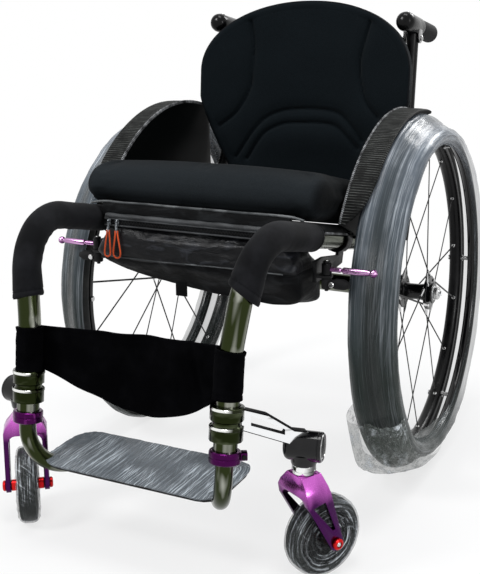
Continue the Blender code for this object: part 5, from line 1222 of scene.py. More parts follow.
def side_guards():
    """Panels beside the wheels, each with a ribbed lip that reaches over the tyre and ends in a tongue."""
    for word, side in SIDES:
        edge = lip_line(GUARD_R)
        low = mm((-106, 470), (-98, 420), (-80, 365.3), (170, 420.7), (205, 436.4))
        panel = slab([spot(side * GUARD_X, ahead, z) for ahead, z in edge + low],
                     Vector((side * 0.0026, 0, 0)), 0.0006)
        piece(f"side_guard_{word}_panel", panel, CARBON, "frame", [f"side_guard_{word}"])
        steps = 110
        section = mm((0.2, 305.4), (0.2, 308), (15, 308.3), (30, 308), (38, 307.4), (40.2, 305.8), (40, 304),
                     (37.2, 304.8), (29, 305.4), (15, 305.6))
        rows = []
        for i in range(steps + 1):
            turn = GUARD_FRONT + (GUARD_BACK - GUARD_FRONT) * i / steps
            past = max(0.0, (turn - radians(41)) / (GUARD_FRONT - radians(41)))
            past = max(past, (radians(-11) - turn) / (radians(-11) - GUARD_BACK))
            wide = max(0.12, sqrt(max(0.0, 1 - past**2)))
            row = []
            for out, radius in section:
                rib = 0.0003 if i % 2 and radius > 0.307 else 0.0
                row.append(spot(side * (GUARD_X + out * wide), sin(turn) * (radius - rib),
                                AXLE_Z + cos(turn) * (radius - rib)))
            rows.append(row)
        piece(f"side_guard_{word}_lip", skin(rows, closed=True, capped=True), GUARD_TRIM, "frame")
        binding = [spot(side * (GUARD_X + 0.001), ahead, z) for ahead, z in lip_line(0.3068, 110)]
        piece(f"side_guard_{word}_binding", ribbed_edge(binding, side), BINDING_HIGHLIGHT, "frame")
        rail = rail_spot(side, 0.07)
        place = facing(rail, RAIL_FORWARD) @ STAND
        band = mm((-15, 16.3), (-15, 19.8), (-13.8, 20.8), (13.8, 20.8), (15, 19.8), (15, 16.3))
        ring = hoop(band, 48, place)
        tab = block((0.008, 0.024, 0.014), shift(rail + Vector((side * 0.0205, 0, 0.009))), 0.0012)
        piece(f"side_guard_{word}_clamp", added(ring, tab), BLACK_METAL, "frame")


def ribbed_edge(path, side):
    """Edge binding folded over a panel's rim, with a rib every 2.5 mm."""
    rows = []
    points = stretch_of(path, 0, walked(path)[-1], 0.00125)
    for i, point in enumerate(points):
        swell = 0.0003 * (i % 2)
        way = (points[min(i + 1, len(points) - 1)] - points[max(i - 1, 0)]).normalized()
        across = Vector((side, 0, 0))
        up = way.cross(across).normalized()
        ring = arc((0, 0), 1.0, 0, tau, 10)[:-1]
        rows.append([point + across * a * (0.0019 + swell) + up * b * (0.0028 + swell) for a, b in ring])
    return skin(rows, closed=True, capped=True)


BRAKE_PIVOT = (0.199, 0.295, 0.4)


def brakes():
    for word, side in SIDES:
        eased(f"brake_mount_{word}", BLACK_METAL, 0.0006)
        body = f"brake_{word}"
        x, ahead, z = BRAKE_PIVOT
        pivot = spot(side * x, ahead, z)
        place = shift(pivot) @ Matrix.Scale(side, 4, Vector((1, 0, 0)))
        ball = 0.006
        rod_line = mm((4, 0), (4, 3.8), (21, 3.8), (22.2, 2.8), (24, 2.8), (25.6, 4.6))
        rod_line += mm((26.8, 4.9), (50, 4.8), (62, 4.4), (65.2, 3.4))
        turns = (0.62, 0.95, 1.3, 1.7, 2.1, 2.5, 2.85)
        rod_line += [(0.071 - ball * cos(turn), ball * sin(turn)) for turn in turns] + [(0.077, 0)]
        piece(f"brake_arm_{word}_rod", turned(rod_line, 32, place), ROD_PURPLE, body,
              [f"brake_arm_{word}"])
        upright = shift(pivot) @ STAND
        boss = mm((-8.5, 3.2), (-8.5, 6.6), (-7.6, 7.5), (7.6, 7.5), (8.5, 6.6), (8.5, 3.2))
        piece(f"brake_arm_{word}_boss", hoop(boss, 36, upright), BLACK_METAL, body,
              [f"brake_arm_{word}"])
        low = -0.0085 - 0.0003 - 0.004 - 0.0003
        grip_at = low - 0.008
        grip = mm((4, 0), (4, 5.2), (10, 6), (12.8, 7.4), (15, 8), (27, 8), (30.2, 6.8))
        grip += mm((32.5, 5.4), (35, 4.8), (35.8, 3.6), (36, 0))
        lever = turned(grip, 32, place @ shift((0, 0, grip_at)))
        knob = [(low - 0.016, 0.0032), (low - 0.016, 0.0064), (low - 0.015, 0.0075), (low - 0.0008, 0.0075),
                (low, 0.0066), (low, 0.0032)]
        lever = added(lever, hoop(knob, 36, upright))
        piece(f"brake_lever_{word}_grip", lever, GRIP_RUBBER, body, [f"brake_lever_{word}"])
        at = spot(side * (x + 0.01), ahead + 0.0072, z + grip_at)
        screw = button(0.0042, 0.0022, facing(at, (0, -1, 0)), 20)
        piece(f"brake_lever_{word}_screw", screw, STEEL, body)
        cap = button(0.003, 0.0016, facing(spot(side * x, ahead, 0.4118), (0, 0, 1)), 20)
        piece(f"brake_mount_{word}_screw", cap, STEEL, "frame")


# Backrest
BACK_BOTTOM = 0.47
BACK_TOP = 0.777
BACK_HALF_WIDTH = 0.2
BACK_LOW_HALF_WIDTH = 0.138
PAD_THICKNESS = 0.029
SHELL_THICKNESS = 0.003
SHELL_BEHIND = PAD_THICKNESS + 0.0014
PAD_SKIRT = 0.014
POST_BEHIND = 0.15
POST_TOP = 0.72
HANDLE_Z = POST_TOP - 0.0075


def back_half_width(z):
    if z <= 0.61:
        share = (0.61 - z) / (0.61 - BACK_BOTTOM)
        return BACK_HALF_WIDTH + (BACK_LOW_HALF_WIDTH - BACK_HALF_WIDTH) * share**1.25
    if z <= 0.655:
        return BACK_HALF_WIDTH
    share = min(1.0, (z - 0.655) / (BACK_TOP - 0.655))
    return BACK_HALF_WIDTH * max(0.0, 1 - share**2.1) ** (1 / 2.1)


def back_front_y(x, z):
    """Where the pad's front surface lies: hollow across its width, leaning back with height."""
    lean = tan(radians(5.0)) * (z - (BACK_BOTTOM + BACK_TOP) / 2)
    return AXLE_Y + 0.093 + lean - 0.032 * (x / BACK_HALF_WIDTH) ** 2


def fold_pin(side):
    return spot(side * RAIL_X, -0.062, 0.412)


def post_path(side):
    pin = fold_pin(side)
    knee = spot(side * RAIL_X, -0.13, 0.5)
    top = spot(side * RAIL_X, -POST_BEHIND, POST_TOP)
    return rounded((pin + (knee - pin).normalized() * 0.004, knee, top), (0.07,), 24)


def back_frame():
    """Two posts on their hinges, stubs that hold the shell, and the bar between the posts."""
    shape = None
    for _, side in SIDES:
        shape = added(shape, swept(post_path(side), 0.0105, 28))
        lug = mm((-12, 4.3), (-12, 9), (-10.8, 10), (10.8, 10), (12, 9), (12, 4.3))
        shape = added(shape, hoop(lug, 36, shift(fold_pin(side))))
        for z in (0.575, 0.675):
            x = side * (RAIL_X - 0.006)
            y = AXLE_Y + 0.13 + 0.02 * (z - 0.5) / 0.22
            start = back_front_y(x - side * 0.007, z) + SHELL_BEHIND + SHELL_THICKNESS + 0.0003
            start = max(start, back_front_y(x, z) + 0.0337)
            shape = added(shape, swept([Vector((x, start, z)), Vector((x, y, z))], 0.007, 24))
    behind = 0.13 + 0.02 * 0.04 / 0.22
    bar = [spot(side * RAIL_X, -behind, 0.54) for _, side in SIDES]
    shape = added(shape, swept(bar, 0.009, 28))
    piece("back_frame_posts", shape, BLACK_METAL, "backrest", ["back_frame"])
    screws = None
    for word, side in SIDES:
        bolt = spot(side * RAIL_X, -POST_BEHIND, HANDLE_Z)
        for way in (-1, 1):
            end = facing(bolt + Vector((way * 0.0149, 0, 0)), (way, 0, 0))
            screws = added(screws, button(0.0048, 0.003, end, 24, 0.001))
            head = facing(fold_pin(side) + Vector((way * 0.0193, 0, 0)), (way, 0, 0))
            name = f"hinge_screw_{word}_{'out' if way == side else 'in'}"
            piece(name, button(0.0052, 0.0024, head, 24), STEEL, "frame")
    piece("handle_bolts", screws, STEEL, "backrest")


def back_sheet(front, thickness, inset, rows, columns, edge):
    """A hollow shell in the backrest's outline, front metres behind the pad's front."""
    shape = bmesh.new()
    low, high = BACK_BOTTOM + inset, BACK_TOP - inset
    slices = []
    for i in range(rows + 1):
        share = (1 - cos(pi * i / rows)) / 2
        z = low + (high - low) * (share * 0.992 + 0.004)
        half = max(0.012, back_half_width(z) - inset)
        ends = min(1.0, (z - low) / edge, (high - z) / edge)
        body = thickness * (0.35 + 0.65 * sqrt(max(0.0, 1 - (1 - ends) ** 2)))
        fronts, backs = [], []
        for j in range(columns + 1):
            x = -half * cos(pi * j / columns)
            near = min(1.0, (half - abs(x)) / edge)
            deep = body * (0.3 + 0.7 * sqrt(max(0.0, 1 - (1 - near) ** 2)))
            middle = back_front_y(x, z) + front + thickness / 2
            fronts.append(shape.verts.new((x, middle - deep / 2, z)))
            backs.append(shape.verts.new((x, middle + deep / 2, z)))
        slices.append(fronts + backs[::-1])
    for row, after in zip(slices, slices[1:]):
        for i in range(len(row)):
            j = (i + 1) % len(row)
            shape.faces.new((row[i], row[j], after[j], after[i]))
    shape.faces.new(slices[0])
    shape.faces.new(slices[-1])
    return shape


def back_shell():
    shape = back_sheet(SHELL_BEHIND, SHELL_THICKNESS, 0.008, 40, 36, 0.001)
    piece("back_shell_panel", shape, BLACK_METAL, "backrest", ["back_shell"], crease=45)


def push_handles():
    """A moulded joint block on each post, with a rubber grip behind it."""
    slope = radians(9.0)
    way = Vector((0, cos(slope), -sin(slope)))
    for word, side in SIDES:
        pivot = spot(side * RAIL_X, -POST_BEHIND, HANDLE_Z)
        front = pivot + Vector((0, 0, 0.022)) - way * 0.06
        place = facing(front, way) @ STAND
        nose = mm((0, 0), (1, 8), (4, 12.5), (9, 15.5), (15, 16.8), (30, 16.5), (82, 16.5))
        nose += [(0.0856, 0.015), (0.087, 0.0142), (0.088, 0)]
        block_shape = turned(nose, 40, place)
        cheeks = None
        for sign in (-1, 1):
            cheek = [Vector((sign * 0.0112, y, z)) for y, z in arc((0, 0), 0.0085, pi, tau, 14)]
            cheek += [Vector((sign * 0.0112, 0.0085, 0.022)), Vector((sign * 0.0112, -0.0085, 0.022))]
            cheek = slab([pivot + point for point in cheek], Vector((sign * 0.0038, 0, 0)), 0.0008)
            cheeks = added(cheeks, cheek)
        piece(f"push_handle_{word}_bracket", cheeks, STEEL, f"handle_{word}")
        piece(f"push_handle_{word}_block", block_shape, HANDLE_BLACK, f"handle_{word}",
              [f"push_handle_{word}"])
        grip = [(0.087, 0), (0.087, 0.0142)]
        for i in range(14):
            at = 0.09 + i * 0.005
            grip += [(at, 0.015 + 0.001 * i / 14), (at + 0.0022, 0.0157 + 0.0009 * i / 14),
                     (at + 0.0036, 0.0157 + 0.0009 * i / 14)]
        grip += mm((160, 16.5), (161.2, 15), (162, 11), (162, 0))
        piece(f"push_handle_{word}_grip", turned(grip, 40, place), GRIP_RUBBER, f"handle_{word}")
        screw = button(0.004, 0.003, facing(front + way * 0.03 + Vector((0, 0, 0.016)), (0, 0, 1)), 20)
        piece(f"push_handle_{word}_screw", screw, STEEL, f"handle_{word}")


WING_SEAMS = (mm((-111, 743), (-104, 700), (-106, 657), (-111, 621), (-134, 581), (-165, 555)),
              mm((119, 742), (104, 686), (104, 652), (110, 626), (121, 601), (142, 580)))
ARCHES = (mm((-132, 498), (-108, 537), (-80, 569), (-48, 584), (-11, 589), (31, 589), (66, 583), (92, 563),
             (115, 538)),
          mm((-111, 495), (-92, 527), (-74, 547), (-43, 561), (-10, 564), (28, 565), (60, 561), (85, 543),
             (106, 524)))


def back_pad():
    """The backrest's upholstery: a squared rim with piping, wings and a lumbar roll, sewn along its seams."""
    seams = nearest_on([[(point.x, point.y) for point in smooth_line([Vector((x, z, 0)) for x, z in line], 6)]
                        for line in WING_SEAMS + ARCHES])
    rows, columns = 170, 170
    bottom = BACK_BOTTOM - PAD_SKIRT
    heights = [bottom + (BACK_TOP - bottom) * (1 - cos(pi * i / 160)) / 2 for i in range(161)]
    outline = [(0.0, bottom)] + [(pad_half_width(z), z) for z in heights] + [(0.0, BACK_TOP)]
    from_edge = nearest_on([outline])
    slices = []
    for i in range(rows + 1):
        z = bottom + (BACK_TOP - bottom) * (0.5 * (1 - cos(pi * i / rows)) * 0.6 + 0.4 * i / rows)
        half = pad_half_width(z)
        front, back, middles = [], [], []
        for j in range(columns + 1):
            x = -half * cos(pi * (0.5 * (1 - cos(pi * j / columns)) * 0.35 + j / columns * 0.65))
            edge = from_edge(abs(x), z)
            near = min(1.0, edge / 0.016)
            body = PAD_THICKNESS * (0.6 + 0.4 * sqrt(max(0.0, 1 - (1 - near) ** 2)))
            middle = back_front_y(x, z) + PAD_THICKNESS / 2
            seam = seams(x, z)
            groove = 0.0048 * bell(seam, 0.0028) + 0.003 * bell(seam, 0.012)
            puff = 0.0016 * noise_at(x * 14, z * 14, 2.0)
            lumbar = 0.0045 * bell(z - 0.535, 0.03) * max(0.0, 1 - (x / 0.11) ** 2) ** 0.5
            full = min(1.0, edge / 0.012)
            front.append(Vector((x, middle - body / 2 + (groove + 0.0025 - puff - lumbar) * full, z)))
            back.append(Vector((x, middle + body / 2 - 0.0004, z)))
            middles.append(Vector((x, middle, z - 0.0004)))
        if i == 0:
            slices.append(middles + middles[::-1])
        slices.append(front + back[::-1])
    pad = piece("back_pad_upholstery", skin(slices, closed=True), SPACER_MESH, "backrest",
                ["back_pad"], crease=75)
    piping = [Vector((x, back_front_y(x, z) + PAD_THICKNESS / 2 - 0.008, z)) for x, z in outline[1:-1]]
    loop = piping + [Vector((-point.x, point.y, point.z)) for point in reversed(piping)]
    piece("back_pad_piping", swept(thinned(loop, 0.003), 0.0019, 10), PLAIN_KNIT, "backrest",
          crease=75)


def pad_half_width(z):
    """The pad's outline, with its lower edge hanging a little below the shell."""
    return back_half_width(z) if z > BACK_BOTTOM else BACK_LOW_HALF_WIDTH - (BACK_BOTTOM - z) * 0.9


def thinned(points, gap):
    """The points of a line, leaving out those closer than gap to the one before."""
    kept = [points[0]]
    for point in points[1:]:
        if (point - kept[-1]).length >= gap:
            kept.append(point)
    return kept


# Seat
SLING_R = 0.019
SLING_THICKNESS = 0.004
COVER_BEHIND = 0.306
CUSHION_FRONT = 0.338
CUSHION_LENGTH = 0.37
BAG_FRONT = 0.34
ZIP_DROP = -0.004
COVER_END = {"left": 0.423, "right": 0.376}
COVER_SLANT = {"left": 0.02, "right": 0.006}
SLANT_OVER = 0.04
HEM_AT = 0.0085
PULL_X = {"right": -0.1425, "left": -0.1275}


def puffed(shape, voxel, pressure, cap):
    """Lets air into a closed blank of cloth for a moment, and keeps the form it takes."""
    mesh = bpy.data.meshes.new("skin")
    shape.to_mesh(mesh)
    shape.free()
    blank = bpy.data.objects.new("skin", mesh)
    scene = bpy.context.scene
    shown(blank)
    even = blank.modifiers.new("even", "REMESH")
    even.mode = "VOXEL"
    even.voxel_size = voxel
    remeshed = bpy.data.meshes.new_from_object(blank.evaluated_get(bpy.context.evaluated_depsgraph_get()))
    blank.modifiers.clear()
    blank.data = remeshed
    cloth = blank.modifiers.new("air", "CLOTH")
    cloth.settings.use_pressure = True
    cloth.settings.uniform_pressure_force = pressure
    cloth.settings.effector_weights.gravity = 0
    for number in range(1, 21):
        scene.frame_set(number)
    blown = blank.evaluated_get(bpy.context.evaluated_depsgraph_get()).to_mesh()
    reached = [vert.co.copy() for vert in blown.vertices]
    blank.modifiers.clear()
    scene.frame_set(1)
    for vert, there in zip(remeshed.vertices, reached):
        move = there - vert.co
        if move.length > cap:
            move *= cap / move.length
        vert.co += move
    result = bmesh.new()
    result.from_mesh(remeshed)
    bpy.data.objects.remove(blank)
    bpy.data.meshes.remove(mesh)
    bpy.data.meshes.remove(remeshed)
    return result


def seat_height(point):
    """How far a point is over the seat's plane, and how far ahead."""
    ahead = AXLE_Y - point.y
    return (point.z - RAIL_Z - tan(SEAT_DUMP) * ahead) * cos(SEAT_DUMP), ahead


def seat_cushion():
    """A full pad with a rolled front and back, crowned along its front, with a sewn line low on its sides."""
    half, deep, thick, ease = 0.199, CUSHION_LENGTH / 2 - 0.004, 0.034, 0.016
    stations = [half - ease + ease * sin(pi / 2 * i / 7) for i in range(8)]
    between = [(half - ease) * (i / 20 - 1) for i in range(1, 40)]
    stations = [-x for x in reversed(stations)] + between + stations
    rows = []
    for x in stations:
        past = max(0.0, abs(x) - (half - ease))
        inset = ease - sqrt(max(0.0, ease**2 - past**2))
        ring = [(deep - thick + along, up) for along, up in arc((0, 0), thick - inset, -pi / 2, pi / 2, 14)]
        ring += [(-along, -up) for along, up in ring]
        rows.append([seat_point(x, CUSHION_FRONT - deep + along, 0.0222 + thick + up) for along, up in ring])
    shape = puffed(skin(rows, closed=True, capped=True), 0.005, 4.0, 0.006)
    places = [(vert, *seat_height(vert.co)) for vert in shape.verts]
    wide = max(abs(vert.co.x) for vert, _, _ in places)
    low, high = min(up for _, up, _ in places), max(up for _, up, _ in places)
    first, last = min(ahead for _, _, ahead in places), max(ahead for _, _, ahead in places)
    for vert, up, ahead in places:
        x = vert.co.x * 0.1996 / wide
        level = (up - low) / (high - low)
        on = (ahead - first) / (last - first)
        crown = 0.0062 * max(0.0, 1 - (x / 0.2) ** 2) * (0.35 + 0.65 * on) * held((level - 0.15) / 0.6)
        place = CUSHION_FRONT + 0.002 - (CUSHION_LENGTH - 0.004) * (1 - on)
        # The back edge slopes down, so that the folded backrest comes to lie on it
        rear = held((0.044 - place) / 0.052) ** 1.25
        sunk = 0.005 + 0.0145 * min(1.0, abs(x) / 0.13) ** 1.5
        height = 0.0222 + 0.0705 * level + crown - rear * level * sunk
        welt = bell(height - 0.035, 0.0028)
        if abs(x) > 0.184:
            x -= copysign(0.002, x) * welt
        vert.co = seat_point(x, place - (0.0018 * welt if on > 0.95 else 0.0), height)
    pad = piece("cushion_cover", shape, CUSHION_MESH, "frame", ["cushion"], crease=180)
    refine(pad)


def seat_sling():
    """Upholstery laid over the rails, its bound edges on their outer shoulders, let in for the clamps."""
    side_arc = [(RAIL_X + x, up) for x, up in arc((0, 0), SLING_R, radians(24), radians(90), 10)]
    across = side_arc + [(RAIL_X * (1 - i / 12), SLING_R) for i in range(1, 12)]
    across = across + [(0, SLING_R)] + [(-x, up) for x, up in reversed(across)]
    notches = ((0.201, 0.011), (0.07, 0.016), (0.0, 0.023))
    aheads = [-0.03 + 0.336 * i / 112 for i in range(113)]
    shape = skin([[seat_point(x, ahead, up) for x, up in across] for ahead in aheads])
    bare = []
    for index, face in enumerate(shape.faces):
        i, j = divmod(index, len(across) - 1)
        outer = abs(across[j][0] + across[j + 1][0]) / 2 > RAIL_X - 0.015
        if outer and any(abs((aheads[i] + aheads[i + 1]) / 2 - at) < half for at, half in notches):
            bare.append(face)
    bmesh.ops.delete(shape, geom=bare, context="FACES")
    sling = piece("seat_sling_cloth", shape, STRAP_NYLON, "frame", ["seat_sling"], crease=60)
    thicken(sling, SLING_THICKNESS)
    turn = radians(24)
    for word, side in SIDES:
        edge = [seat_point(side * (RAIL_X + 0.0198 * cos(turn)), ahead, 0.0198 * sin(turn))
                for ahead in (0.213, 0.245, 0.275, 0.305)]
        piece(f"seat_sling_edge_{word}", swept(smooth_line(edge, 5), 0.0018, 10), BINDING_HIGHLIGHT, "frame")
    front_band()


def front_band():
    """The sling's front hem between the rails: an upright band with a pale roll along its top."""
    half = 0.1582
    section = mm((284, 17.6), (327, 18), (331.5, 20.5), (333.8, 24.2), (335.2, 25.8), (337, 26.4),
                 (338.6, 25.8), (339.4, 23.6), (339.3, 18), (339.2, 13), (339, 8), (338, 6), (336.6, 6.6),
                 (335.8, 14), (333, 16), (284, 16))
    rows = []
    for i in range(121):
        x = -half + 2 * half * i / 120
        crease = 0.0013 * noise_at(x * 75, 0.5, 0) * bell(x + 0.035, 0.045)
        wave = 0.0006 * noise_at(x * 26, 0.5, 0)
        row = []
        for ahead, up in section:
            tuck = crease * (1 - abs(up - 0.016) / 0.012) if ahead > 0.3385 else 0
            row.append(seat_point(x, ahead + wave + tuck, up))
        rows.append(row)
    piece("seat_sling_front_band", skin(rows, closed=True, capped=True), STRAP_NYLON, "frame",
          crease=50)
    ends = mm((179, 22.6), (170, 24.6), (160, 26.2), (145, 26.8))
    line = [(-x, up) for x, up in ends] + [(x, 0.0266 + 0.0004 * sin(x * 70))
                                           for x in (-0.12 + 0.04 * i for i in range(7))]
    line = [seat_point(x, 0.3386, up) for x, up in line + ends[::-1]]
    # The roll's paler cloth is a painted highlight
    piece("seat_sling_roll", swept(smooth_line(line, 5), 0.0019, 12), HIGHLIGHT_HEM, "frame")


def bag_point(x, ahead, up):
    return rail_spot(0, ahead) + Vector((x, 0, up))


def seat_bag():
    """The zipped bag under the seat: a slack front panel, and under its piped seam a plain dark base."""
    outline = mm((-146, -1), (150, -1), (150, -22), (168, -42), (170, -98), (150, -103), (112, -100.5),
                 (54, -98.5), (-18, -90.5), (-111, -78.5), (-162, -69), (-172, -60), (-174.5, -48),
                 (-166, -34), (-156, -19))
    points = [bag_point(x, BAG_FRONT - 0.003, up) for x, up in outline]
    shape = puffed(slab(points, -RAIL_FORWARD * 0.104, 0.007), 0.0042, 2.2, 0.0065)
    front = AXLE_Y - BAG_FRONT
    for vert in shape.verts:
        up = vert.co.z - RAIL_Z - tan(SEAT_DUMP) * BAG_FRONT
        is_front = bell(vert.co.y - front, 0.016)
        pocket = pocket_seam(vert.co.x)
        seam = bell(up - pocket, 0.0026)
        lip = bell(up - pocket - 0.005, 0.0034)
        slack = held((-0.014 - up) / 0.014) * held((up - pocket) / 0.004)
        lively = 0.45 + held((vert.co.x + 0.03) / 0.09)
        crumple = 1 - 2 * abs(noise_at(vert.co.x * 15 + vert.co.z * 17, vert.co.z * 30 - vert.co.x * 9, 1.5))
        fine = noise.fractal(Vector((vert.co.x * 34, vert.co.z * 50, 4.5)), 0.9, 2.1, 3)
        folds = 0.0052 * lively * (crumple - 0.4) + 0.0012 * fine
        vert.co.y += is_front * (0.003 * seam - 0.002 * lip - folds * slack * (1 - seam))
        proud = front - vert.co.y - 0.0022
        if proud > 0:
            # Room for the cord loops to pass over the fullest folds
            vert.co.y = front - (0.0022 + 0.0018 * (1 - exp(-proud / 0.0018))) * (1 - 0.8 * seam)
        if up < pocket and vert.co.y < front + 0.03:
            vert.co.y += 0.55 * (pocket - up) * (1 - (vert.co.y - front) / 0.03)
        vert.co.z += 0.003 * noise_at(vert.co.x * 16, vert.co.y * 18, 3.0) * (1 if up < -0.06 else 0)
        if abs(up - ZIP_DROP) < 0.011 and vert.co.y < front + 0.01:
            vert.co.y = max(vert.co.y, front + 0.0002)
        top = RAIL_Z + tan(SEAT_DUMP) * (AXLE_Y - vert.co.y) + 0.004
        vert.co.z = min(vert.co.z, top)
    for face in shape.faces:
        middle = face.calc_center_median()
        up = middle.z - RAIL_Z - tan(SEAT_DUMP) * BAG_FRONT
        face.material_index = 1 if up < pocket_seam(middle.x) else 0
    bag = piece("seat_bag_shell", shape, NYLON, "frame", ["seat_bag"], crease=180)
    bag.data.materials.append(STRAP_NYLON)
    refine(bag)
    zip_line()
    flap = [bag_point(-0.15 + 0.304 * i / 50, BAG_FRONT + 0.0012 + 0.0006 * sin(i), 0.0052)
            for i in range(51)]
    fall = mm((6, 3), (1, 2), (-0.4, 0), (-0.6, -3))
    hanging = skin([[point + Vector((0, out, drop)) for out, drop in fall] for point in flap])
    strip = piece("seat_bag_zip_flap", hanging, HEM_NYLON, "frame", crease=60)
    thicken(strip, 0.0012)
    seam_line = [bag_point(-0.145 + 0.295 * i / 60, BAG_FRONT + 0.0014 + 0.0004 * sin(i * 0.9),
                           pocket_seam(-0.145 + 0.295 * i / 60) + 0.0012) for i in range(61)]
    # The piping's paler cloth is a painted highlight along the seam
    piece("seat_bag_pocket_piping", swept(seam_line, 0.0013, 8), HIGHLIGHT_HEM, "frame")
    tab = block((0.02, 0.0024, 0.023), shift(bag_point(-0.03, BAG_FRONT - 0.02, -0.1)), 0.001)
    piece("seat_bag_tab", tab, STRAP_NYLON, "frame")


def pocket_seam(x):
    """How far under the rail's line the piped seam between the bag's front and its base runs."""
    return -0.0595 + 0.0012 * sin(x * 18)


def zip_line():
    """Two rows of teeth between welted tapes."""
    centre = bag_point(0, BAG_FRONT, ZIP_DROP)
    tape = block((0.306, 0.0012, 0.014), shift(centre + Vector((0, -0.0004, 0))), 0.0004)
    piece("seat_bag_zip_tape", tape, STRAP_NYLON, "frame")
    welts = None
    for up in (-0.0052, 0.005):
        line = [centre + Vector((x, -0.0012 - 0.0003 * sin(x * 90), up))
                for x in (-0.151 + 0.302 * i / 50 for i in range(51))]
        welts = added(welts, swept(line, 0.0014, 8))
    piece("seat_bag_zip_welts", welts, HEM_NYLON, "frame")
    teeth = None
    count = 116
    for i in range(count):
        x = -0.147 + 0.294 * i / (count - 1)
        row = 1 if i % 2 else -1
        place = shift(centre + Vector((x, -0.0012, row * 0.0009)))
        teeth = added(teeth, block((0.0016, 0.0014, 0.003), place))
    piece("seat_bag_zip_teeth", teeth, MOULDED, "frame")


def zip_pulls():
    """Two sliders on the zip, each with a tab and a cord loop to pull it by."""
    for word, _ in SIDES:
        body = f"slider_{word}"
        centre = bag_point(PULL_X[word], BAG_FRONT, ZIP_DROP)
        here = centre + Vector((0, -0.003, 0))
        shape = block((0.0078, 0.0034, 0.0105), shift(here), 0.0012)
        bow = arc((-0.001, 0), 0.003, radians(100), radians(260), 8)
        arch = swept([here + Vector((0, y, z)) for y, z in bow], 0.0008, 8)
        shape = added(shape, arch)
        tab = block((0.0042, 0.0012, 0.015), shift(here + Vector((0, -0.0034, -0.0078))), 0.0006)
        shape = added(shape, tab)
        piece(f"zip_slider_{word}", shape, ZINC, body, [f"zip_pull_{word}"])
        wide, drop, lean = (0.0052, 0.042, -0.0034) if word == "right" else (0.0064, 0.043, -0.0008)
        top = here + Vector((0, -0.0034, -0.0125))
        low = -drop + wide
        left_run = [(-0.0019, 0.0), (-0.0022, -0.006), (-0.0034, -0.014), (-wide, low + 0.005)]
        base = [(wide * cos(turn), low + wide * sin(turn))
                for turn in (radians(180 + 30 * k) for k in range(7))]
        right_run = [(-x, z) for x, z in reversed(left_run)]
        line = [top + Vector((x + lean * min(1.0, -z / drop), 0.0004 * sin(z * 60), z))
                for x, z in left_run + base + right_run]
        path = smooth_line(line, 5)
        curve = bpy.data.curves.new(f"zip_loop_{word}", "CURVE")
        curve.dimensions = "3D"
        curve.bevel_depth = 0.0013
        curve.bevel_resolution = 4
        curve.use_fill_caps = True
        spline = curve.splines.new("POLY")
        spline.points.add(len(path) - 1)
        for point, there in zip(spline.points, path):
            point.co = (*there, 1)
        curve.materials.append(CORD)
        obj = shown(bpy.data.objects.new(f"zip_loop_{word}", curve))
        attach(obj, body)
        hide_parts(f"zip_pull_{word}")
        walked(path)[-1]


# Covers on the tubes
def tube_covers():
    """Padded sleeves over the bends: stitched hems, a slanted lower end and creases inside the bend."""
    for word, side in SIDES:
        path = side_path(side)
        start = length_to(path, 1, AXLE_Y - COVER_BEHIND)
        end = length_to(path, 2, COVER_END[word])
        points = stretch_of(path, start, end, 0.0022)
        total = end - start
        frames = frames_along(points)
        sides = 48
        rows = []
        for i, frame_at in enumerate(frames):
            at = total * i / (len(frames) - 1)
            from_end = min(at, total - at)
            hem = 0.0011 * bell(from_end - HEM_AT, 0.0012)
            roll = 0.0012 * max(0.0, 1 - from_end / 0.0022)
            flare = 0.0014 * max(0.0, 1 - (total - at) / 0.03)
            row = []
            for j in range(sides):
                turn, flat, out = around(frame_at, j, sides)
                inside = max(0.0, out.dot(Vector((0, 0.72, -0.7))))
                crease = noise_at(at * 75, turn * 1.1, side * 4) * 0.0016 * inside
                lumps = noise.noise(frame_at.translation * 22 + out) * 0.0007
                point = frame_at @ (flat * (0.0206 - hem - roll + crease + lumps + flare))
                if total - at < SLANT_OVER:
                    point += slanted(word, side, total - at, out)
                row.append(point)
            rows.append(row)
        obj = piece(f"tube_cover_{word}_sleeve", skin(rows, closed=True), NEOPRENE, "frame",
                    [f"tube_cover_{word}"], crease=180)
        thicken(obj, 0.0038, -1)
        stitches(word, side, frames, total)


def around(frame_at, j, sides):
    """The angle of a ring's point j, and its direction in the ring's own frame and in space."""
    turn = tau * j / sides
    flat = Vector((cos(turn), sin(turn), 0))
    return turn, flat, (frame_at.to_3x3() @ flat).normalized()


def slanted(word, side, from_end, out):
    """How far a sleeve's lower end is drawn down on its outer side."""
    return LEG_DOWN * ((1 - from_end / SLANT_OVER) * COVER_SLANT[word] * (0.5 + 0.5 * out.x * side))


def stitches(word, side, frames, total):
    """A row of thread round each hem of a sleeve."""
    shape = None
    for at, radius in ((HEM_AT, 0.0203), (total - HEM_AT, 0.0213)):
        frame_at = frames[round(at / total * (len(frames) - 1))]
        for j in range(34):
            turn, flat, out = around(frame_at, j, 34)
            place = frame_at @ shift(flat * radius) @ Matrix.Rotation(turn, 4, "Z")
            if at > total / 2:
                place = shift(slanted(word, side, HEM_AT, out)) @ place
            shape = added(shape, block((0.0006, 0.0024, 0.0007), place))
    piece(f"tube_cover_{word}_stitches", shape, PLAIN_KNIT, "frame")


def strap_edge(x):
    """How far below the top of the calf strap its lower edge hangs."""
    share = min(1.0, abs(x - 0.025 * (1 - (x / KNEE[0]) ** 2)) / KNEE[0])
    return 0.061 + 0.053 * (1 - share**2.2) ** 1.5


